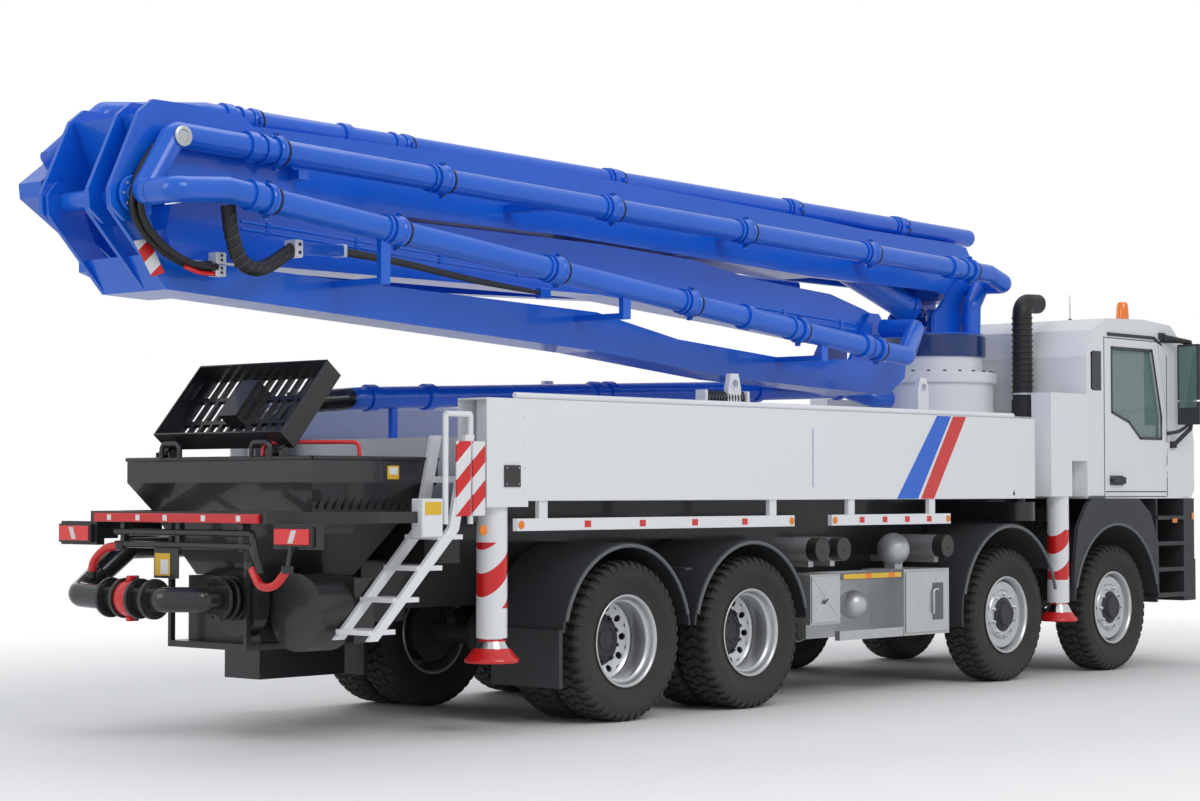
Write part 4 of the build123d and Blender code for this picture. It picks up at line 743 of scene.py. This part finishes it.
# ------------------------ side panels
for side_name, side in SIDES:
    panel = Piece(f"panel_trim_{side_name}", f"rear_outrigger_{side_name}", "white", slot="white_paint")
    face = side * PANEL_FACE

    def mark(key, outline, depth=1.6):
        panel.use(key).slab(outline, "y", face, face + side * depth, 0.4)

    mark("blue", [(1171, 1487), (1454, 1487), (1917, 2135), (1721, 2135)])
    mark("red", [(1495, 1487), (1674, 1487), (2131, 2135), (1945, 2135)])
    mark("blue", [(97, 1576), (104, 1576), (104, 2009), (97, 2009)])
    if side < 0:
        mark("black", [(-3175, 1573), (-3027, 1573), (-3027, 1712), (-3175, 1712)], 8)
        panel.use("silver").bolts([(x, face + side * 8, z) for x in (-3158, -3044) for z in (1590, 1695)],
            (0, side, 0), 6, 4, washer=False)
        mark("black", [(2820, 1510), (2842, 1510), (2848, 1528), (2838, 1540), (2831, 1558), (2824, 1540),
            (2814, 1528)], 1.2)
    # the white tube along the panel's top edge, and the panel's bolts
    panel.use("white").tube([(-3040, side * 1215, 2162), (2870, side * 1215, 2162)], 20, 16)
    panel.bolts([(x, face, z) for x in (-2980, 2930) for z in (1540, 1700, 1860, 2020)], (0, side, 0), 9, 6)

# ------------------------ outrigger legs
for side_name, side in SIDES:
    rear_leg = Piece(f"rear_leg_foot_{side_name}", f"rear_jack_{side_name}", "red", slot="red_paint")
    foot = (REAR_LEG[0], side * REAR_LEG[1], FOOT_Z)
    rear_leg.lathe(foot, Z, [(0, 0), (0, 172), (14, 178), (26, 174), (40, 158), (120, 98), (142, 92),
        (150, 84), (150, 60)], 48)
    rear_leg.use("silver").ring_bolts((*foot[:2], FOOT_Z + 13), Z, 150, 8, 10, 10)
    front_leg = Piece(f"front_leg_foot_{side_name}", f"front_jack_{side_name}", "red", slot="red_paint")
    foot = (FRONT_LEG[0], side * FRONT_LEG[1], FOOT_Z)
    front_leg.lathe(foot, Z, [(0, 0), (0, 156), (14, 162), (26, 158), (40, 142), (120, 88), (142, 84),
        (150, 78), (150, 60)], 48)
    front_leg.use("silver").ring_bolts((*foot[:2], FOOT_Z + 13), Z, 136, 8, 10, 10)


# ------------------------ cab
HANDLE_OUT = 44.0  # the dark grip covers the cast handle under it
WINDOW = [(4470, 2230), (4760, 2150), (4960, 2010), (5330, 2010), (5330, 2210), (5170, 2790), (4470, 2790)]


def window_frame(piece, outline, width, side, depth=5):
    """A rubber frame round a cab window, along its outline."""
    y = side * CAB_FACE
    closed = outline + outline[:1]
    for (x1, z1), (x2, z2) in zip(closed, closed[1:]):
        piece.bar((x1, y + side * depth / 2, z1), (x2, y + side * depth / 2, z2), depth, width, 1.5)
        piece.lathe((x2, y, z2), (0, side, 0), [(0, width / 2), (depth, width / 2)], 12)


for side_name, side in SIDES:
    door = Piece(f"cab_door_trim_{side_name}", f"cab_door_{side_name}", "black", slot="dark_plastic")
    y = side * CAB_FACE
    window_frame(door, WINDOW, 24, side)
    door.use("black").box((4428, 4652), (y, y + side * 6), (1596, 1679), 7)
    door.use("dark").box((4437, 4643), (y, y + side * HANDLE_OUT), (1607, 1668), 9)
    door.use("silver").lathe((4445, y + side * 6, 1615), (0, side, 0), [(0, 9), (4, 9)], 12)
    door.use("dark").bar((4360, y + side * 1.2, 1540), (5420, y + side * 1.2, 1540), 2.4, 8)

cab = Piece("cab_trim", "chassis", "black", slot="dark_plastic")
for side_name, side in SIDES:
    y = side * CAB_FACE
    # gutter strip over the door, shut line behind it and lower sill
    cab.use("dark").tube([(4400, y + side * 4, 2905), (5200, y + side * 4, 2905),
        (5500, y - side * 30, 2790)], 15, 10, bend=60)
    cab.use("dark").bar((4342, y + side * 1, 1500), (4342, y + side * 1, 2880), 2.4, 8, up=X)
    cab.use("grey").bar((4060, y + side * 3, 1492), (4340, y + side * 3, 1492), 6, 26)
    # dark pane behind the door, and the shut line ahead of it
    cab.use("black").box((4140, 4290), (y, y + side * 3), (2410, 2750), 10)
    cab.use("dark").bar((5432, y + side * 1, 1500), (5432, y + side * 1, 2760), 2.4, 8, up=X)
    # lamps, indicators, mirror arms and mirror glass
    cab.use("lens_white").box((5926, 5939), (side * 780, side * 1120), (740, 880), 12)
    cab.use("lens_amber").box((5860, 5900), (side * 1214, side * 1222), (1290, 1350), 6)
    cab.use("orange").box((5480, 5560), (side * 1228, side * 1240), (1262, 1302), 6)
    cab.use("dark").tube(eased([(5300, side * 1190, 2880), (5560, side * 1280, 2885),
        (5600, side * 1345, 2850)]), 16, 12)
    cab.use("dark").tube(eased([(5590, side * 1345, 2140), (5520, side * 1280, 2080),
        (5430, side * 1212, 2060)]), 16, 12)
    cab.use("glass").box((5553, 5560), (side * 1268, side * 1442), (2290, 2840), 3)
# grille slats and the plain panel below the windscreen
for i, z in enumerate((1300, 1385, 1470, 1555, 1640)):
    cab.use("dark").box((5925, 5938), (-760, 760), (z, z + 52), 6)
cab.use("white").box((5925, 5938), (-820, 820), (1745, 1935), 8)
# wipers
for start, end in (((5900, -300, 2050), (5790, -700, 2290)), ((5900, 380, 2050), (5790, -60, 2290))):
    cab.use("dark").tube([start, end], 9, 10)
    cab.use("rubber").bar((end[0] + 6, end[1] - 260, end[2] + 20), (end[0] + 6, end[1] + 240, end[2] - 20), 8,
        22)
# sun visor over the windscreen
cab.use("dark").slab([(5460, 2900), (5740, 2868), (5752, 2830), (5650, 2800)], "y", -1120, 1120, 8)
# beacon, its foot and the aerial
cab.use("black").lathe((5730, -600, 3060), Z, [(0, 62), (8, 64), (58, 58), (66, 40)], 32)
cab.use("lens_amber").lathe((5730, -600, 3126), Z, [(0, 56), (6, 60), (120, 54), (150, 46), (160, 30),
    (163, 0)], 32)
cab.use("black").tube([(4640, -700, 3050), (4640, -700, 3280)], [4, 2.2], 8)
cab.use("dark").lathe((4640, -700, 3050), Z, [(0, 22), (20, 14)], 16)

# ------------------------ fenders, guard rails, lower boxes
low = Piece("side_trim", "chassis", "black", slot="dark_plastic")
for side_name, side in SIDES:
    for axle_x, radius in ((4500, 700), (2800, 700), (-600, 640), (-1950, 640)):
        base = 560 if axle_x > 0 else 540
        arc = [(axle_x + radius * math.cos(a), side * 1238, base + radius * math.sin(a))
               for a in (math.radians(14 + 152 * k / 22) for k in range(23))]
        low.use("grey").tube(arc, 13, 10)
    for low_x, high_x in ((-3040, -110), (350, 1920)):
        y = side * RAIL_FACE
        low.use("white").box((low_x, high_x), (y, y + side * 4), (1290, 1370), 3)
        for x in (low_x + 36, high_x - 36):
            low.use("orange").lathe((x, y + side * 4, 1330), (0, side, 0), [(0, 26), (6, 26), (9, 20),
                (9, 0)], 24)
        for k in range(4):
            x = low_x + (high_x - low_x) * (0.22 + 0.19 * k)
            low.use("red").box((x, x + 62), (y + side * 4, y + side * 6), (1308, 1352), 2)
    # blank metal boxes between the axles
    yb = side * BOX_FACE
    low.use("silver").box((142, 488), (yb, yb + side * 10), (575, 918), 8)
    low.use("alloy").bar((162, yb + side * 9, 600), (468, yb + side * 9, 893), 6, 8, up=Y)
    low.use("alloy").bar((162, yb + side * 9, 893), (468, yb + side * 9, 600), 6, 8, up=Y)
    low.use("silver").lathe((315, yb + side * 10, 748), (0, side, 0), [(0, 30), (10, 30), (12, 24), (12, 0)],
        24)
    low.use("dark").tube([(315, yb + side * 22, 748), (270, yb + side * 22, 716)], 7, 10)
    low.use("silver").box((1350, 1930), (yb, yb + side * 12), (450, 922), 14)
    low.use("grey").box((1700, 1850), (yb + side * 10, yb + side * 14), (540, 830), 10)
    low.use("silver").tube([(1700, yb + side * 26, 590), (1700, yb + side * 26, 780),
        (1760, yb + side * 26, 780)], 9, 12, bend=30)
    low.use("grey").box((500, 1330), (yb - side * 12, yb + side * 2), (880, 930), 4)
    if side < 0:
        low.use("yellow").box((540, 1290), (yb + side * 2, yb + side * 4), (886, 924), 2)
        for x in (820, 1120):
            low.use("orange").box((x, x + 80), (yb + side * 3.8, yb + side * 4.8), (886, 924), 1)
    low.use("silver").bolts([(x, yb + side * 10, z) for x in (165, 465) for z in (600, 893)], (0, side, 0), 7,
        5, washer=False)
    for x in (350, 620, 2010):
        low.use("black").lathe((x, side * 1060, 1110), (0, side, 0),
                               [(0, 90), (90, 90), (94, 84), (94, 20), (102, 12), (102, 0)], 36)

# ------------------------ rear lights, ledge strip, water pipes
rear = Piece("rear_trim", "chassis", "black", slot="dark_plastic")
for side_name, side in SIDES:
    rear.use("dark").box((-4790, -4774), (side * 890, side * 1230), (1215, 1335), 8)
    rear.use("lens_red").box((-4798, -4788), (side * 905, side * 1215), (1228, 1322), 7)
    rear.use("lens_white").slab([(side * 1030, 1236), (side * 1075, 1236), (side * 1108, 1314),
        (side * 1063, 1314)], "x", -4801, -4797, 1)
rear.use("red").box((-4832, -4810), (-800, 800), (1352, 1408), 3)
for y in (-640, -310, 60, 330, 620):
    rear.use("white").box((-4834, -4830), (y, y + 40), (1362, 1398), 1)

# water pipes' red elbows, the pipe's rings and red clamp, warning plates left blank
rear.use("red").tube(eased([(-4800, -700, 1100), (-4812, -800, 985), (-4812, -930, 985),
    (-4806, -1040, 1080)]), 26, 14)
rear.use("red").tube(eased([(-4800, 560, 1200), (-4815, 690, 1180), (-4830, 790, 1100), (-4835, 815, 1010)]),
    28, 14)
for spot in ((-4800, -700, 1100), (-4806, -1040, 1080), (-4800, 560, 1200), (-4835, 815, 1010)):
    rear.use("black").lathe((spot[0], spot[1], spot[2] - 22), Z, [(0, 30), (0, 36), (44, 36), (44, 30)], 20)
rear.use("black").bar((-4806, -1040, 1095), (-4780, -1040, 1225), 26, 16, up=X)
for y in (-600, 0, 550):
    rear.use("black").bar((-4790, y, 1180), (-4790, y, 1350), 40, 16, up=X)
for y in (40, 180, 330, 470):
    rear.use("black").collar((OUTLET_X, y, OUTLET_Z), Y, [(-14, 80), (-14, 122), (-8, 126), (8, 126),
        (14, 122), (14, 80)], 40)
rear.use("red").collar((OUTLET_X, 255, OUTLET_Z), Y, [(-56, 80), (-56, 108), (-46, 114), (46, 114), (56, 108),
    (56, 80)], 40)
for spin in (-1, 1):
    rear.use("red").box((OUTLET_X - 40, OUTLET_X + 40), (236, 276),
        (OUTLET_Z + spin * 108, OUTLET_Z + spin * 142), 6)
    rear.use("black").lathe((OUTLET_X, 300, OUTLET_Z + spin * 128), Y, [(-96, 0), (-96, 9), (4, 9), (4, 0)],
        10)
for x in (-4540, -4600, -4660):
    rear.use("black").collar((x, -230, OUTLET_Z), X, [(-12, 90), (-12, 132), (-6, 137), (6, 137), (12, 132),
        (12, 90)], 44)
rear.ring_bolts((-4672, -230, OUTLET_Z), (-1, 0, 0), 122, 10, 9, 9)
rear.use("black").box((-4801, -4789), (-14, 226), (1004, 1216), 3)
rear.use("yellow").box((-4806, -4801), (60, 210), (1020, 1160), 2)
rear.use("white").box((-4808, -4805), (75, 150), (1030, 1120), 1)
for y in (350, -530):
    rear.use("black").tube([(-4500, y, RIM_Z), (-4500, y, 1850), (-4500, y + 180, 1850),
        (-4500, y + 180, RIM_Z)], 17, 12, bend=50)
rear.use("red").tube([(-4470, -420, 1752), (-4460, -420, 1842), (-4360, -560, 1850), (-4100, -893, 1850),
    (-4090, -893, 1745)], 13, 12, bend=40)
for side_name, side in SIDES:
    # the bead along the hopper collar's edge and the ribs of its rubber skirt
    rear.use("black").tube([(-4490, side * 902, 1750), (-3420, side * 902, 1750)], 14, 10)
    for k in range(12):
        x = -4360 + 70 * k
        rear.use("rubber").bar((x, side * 800, 1435), (x, side * 870, 1590), 10, 14)
# striped posts by the ladder, control box with blank stickers and a round marker
rear.use("chevron").box((-3590, -3460), (-1240, -1226), (1390, 1860), 4)
rear.use("chevron").box((-3450, -3338), (-1246, -1232), (1390, 1860), 4)
rear.use("black").tube([(-4492, -902, 1750), (-4492, 902, 1750)], 14, 10)
rear.use("white").box((-3870, -3690), (-1225, -1120), (1260, 1500), 8)
rear.use("yellow").box((-3850, -3710), (-1228, -1224), (1400, 1480), 2)
rear.use("orange").lathe((-3350, -1235, 1300), RIGHT, [(0, 34), (8, 34), (12, 26), (12, 0)], 24)

grate = Piece("grate_trim", "hopper_grate", "black", slot="dark_plastic")
grate.use("dark").ring_bolts((-4120, -260, 2120), RIGHT, 40, 4, 10, 8)

# ------------------------ deck, housing and intake trim
deck = Piece("deck_trim", "chassis", "white", slot="white_paint")
for side_name, side in SIDES:
    for x, z in ((-430, 2325), (1990, 2375)):
        deck.use("white").collar((x, side * 900 - 2, z), (0, side, 0), [(0, 31), (0, 46), (44, 46), (44, 31)],
            32)
    deck.use("alloy").bar((-3080, side * 952, 1885), (3300, side * 952, 1885), 5, 30)
    deck.use("slate").box((-600, 600), (side * 500, side * 900), (1901, 1935), 14)
    for k in range(9):
        deck.use("silver").bolts([(-2800 + 700 * k, side * 955, 1885)], (0, side, 0), 8, 6, washer=False)
for k in range(14):
    z = 2395 + 50 * k
    deck.use("rubber").collar((*INTAKE, z), Z, [(-9, 82), (-9, 88), (0, 93), (9, 88), (9, 82)], 40)
deck.use("silver").collar((*INTAKE, 2385), Z, [(-8, 84), (-8, 96), (8, 96), (8, 84)], 40)

# coil spring with its bracket, between the lugs
COIL_RADIUS, COIL_TURN, COIL_STEP = 42, 0.62, 3.35
coil = [(-745 + COIL_STEP * k, COIL_Y + COIL_RADIUS * math.cos(k * COIL_TURN),
         COIL_Z + COIL_RADIUS * math.sin(k * COIL_TURN)) for k in range(136)]
deck.use("dark").tube(coil, 8, 8)
for x in (-775, -292):
    deck.use("white").box((x, x + 30), (COIL_Y - 50, COIL_Y + 50), (2140, 2275), 6)
deck.use("silver").tube([(-770, COIL_Y, COIL_Z), (-270, COIL_Y, COIL_Z)], 16, 12)
rear.use("yellow").box((-3865, -3765), (-906, -900), (1620, 1705), 2)
rear.use("white").box((-3850, -3780), (-908, -905), (1650, 1695), 1)

# ------------------------ all pieces become objects
for piece in PIECES:
    piece.build()

# ------------------------ floor, light, camera
floor_mesh = bpy.data.meshes.new("floor")
floor_mesh.from_pydata([(-60, -60, 0), (60, -60, 0), (60, 60, 0), (-60, 60, 0)], [], [(0, 1, 2, 3)])
floor = bpy.data.objects.new("floor", floor_mesh)
bpy.context.scene.collection.objects.link(floor)
paper = bpy.data.materials.new("studio_floor")
paper.use_nodes = True
paper_tree = paper.node_tree
paper_shader = paper_tree.nodes["Principled BSDF"]
speckle = paper_tree.nodes.new("ShaderNodeTexNoise")
speckle.inputs["Scale"].default_value = 0.4
pm = Maths(paper_tree)
paper_tree.links.new(pm.mix(speckle.outputs["Fac"], (0.88, 0.88, 0.88), (0.92, 0.92, 0.92)),
    paper_shader.inputs["Base Color"])
paper_shader.inputs["Roughness"].default_value = 0.65
# far from the truck the floor gives way to the white backdrop
paper_axes = paper_tree.nodes.new("ShaderNodeSeparateXYZ")
paper_tree.links.new(paper_tree.nodes.new("ShaderNodeTexCoord").outputs["Object"], paper_axes.inputs[0])
square_x, square_y = (pm.op("POWER", pm.op("ABSOLUTE", axis), 2) for axis in paper_axes.outputs[:2])
away = pm.op("SQRT", pm.op("ADD", pm.op("MULTIPLY", square_x, 0.5), square_y))
fade = pm.op("SUBTRACT", 1.75, pm.op("DIVIDE", away, 5.5))
paper_tree.links.new(pm.op("MINIMUM", 1.0, pm.op("MAXIMUM", 0.0, fade)), paper_shader.inputs["Alpha"])
floor_mesh.materials.append(paper)

world = bpy.data.worlds.new("studio")
bpy.context.scene.world = world
world.use_nodes = True
wt = world.node_tree
wt.nodes.clear()
out = wt.nodes.new("ShaderNodeOutputWorld")
soft = wt.nodes.new("ShaderNodeBackground")
soft.inputs["Color"].default_value = (0.93, 0.96, 1.0, 1)
soft.inputs["Strength"].default_value = 0.55
shown = wt.nodes.new("ShaderNodeBackground")
shown.inputs["Color"].default_value = (1, 1, 1, 1)
shown.inputs["Strength"].default_value = 1.0
ray = wt.nodes.new("ShaderNodeLightPath")
wm = Maths(wt)
swap = wt.nodes.new("ShaderNodeMixShader")
seen = wm.any(ray.outputs["Is Camera Ray"], ray.outputs["Is Transmission Ray"],
              wm.op("MULTIPLY", ray.outputs["Is Glossy Ray"], 0.35))
wt.links.new(seen, swap.inputs[0])
wt.links.new(soft.outputs[0], swap.inputs[1])
wt.links.new(shown.outputs[0], swap.inputs[2])
wt.links.new(swap.outputs[0], out.inputs[0])


def lamp(name, spot, target, size, watts):
    """A rectangular lamp that looks at its target."""
    data = bpy.data.lights.new(name, "AREA")
    data.shape = "RECTANGLE"
    data.size, data.size_y = size
    data.energy = watts
    obj = bpy.data.objects.new(name, data)
    obj.location = spot
    obj.rotation_euler = (Vector(target) - Vector(spot)).to_track_quat("-Z", "Y").to_euler()
    bpy.context.scene.collection.objects.link(obj)


lamp("key", (-4, -13, 12), (0, 0, 1.5), (9, 6), 700)
lamp("rear_fill", (-15, 2, 7), (-3, 0, 1.5), (6, 6), 220)
lamp("top", (0, 2, 15), (0, 0, 0), (14, 8), 330)
lamp("far_fill", (4, 14, 8), (0, 0, 1.5), (10, 6), 200)

camera_data = bpy.data.cameras.new("camera")
camera_data.lens = 74.98
camera_data.sensor_width = 36.0
camera = bpy.data.objects.new("camera", camera_data)
camera.location = place(-14664.4, -12268.8, 1550.4)
VIEW_YAW = math.radians(41.6027)
VIEW_PITCH = math.radians(2.0614)
camera.rotation_euler = (math.pi / 2 + VIEW_PITCH, 0, VIEW_YAW - math.pi / 2)
bpy.context.scene.collection.objects.link(camera)
bpy.context.scene.camera = camera
bpy.context.scene.view_settings.view_transform = "Standard"
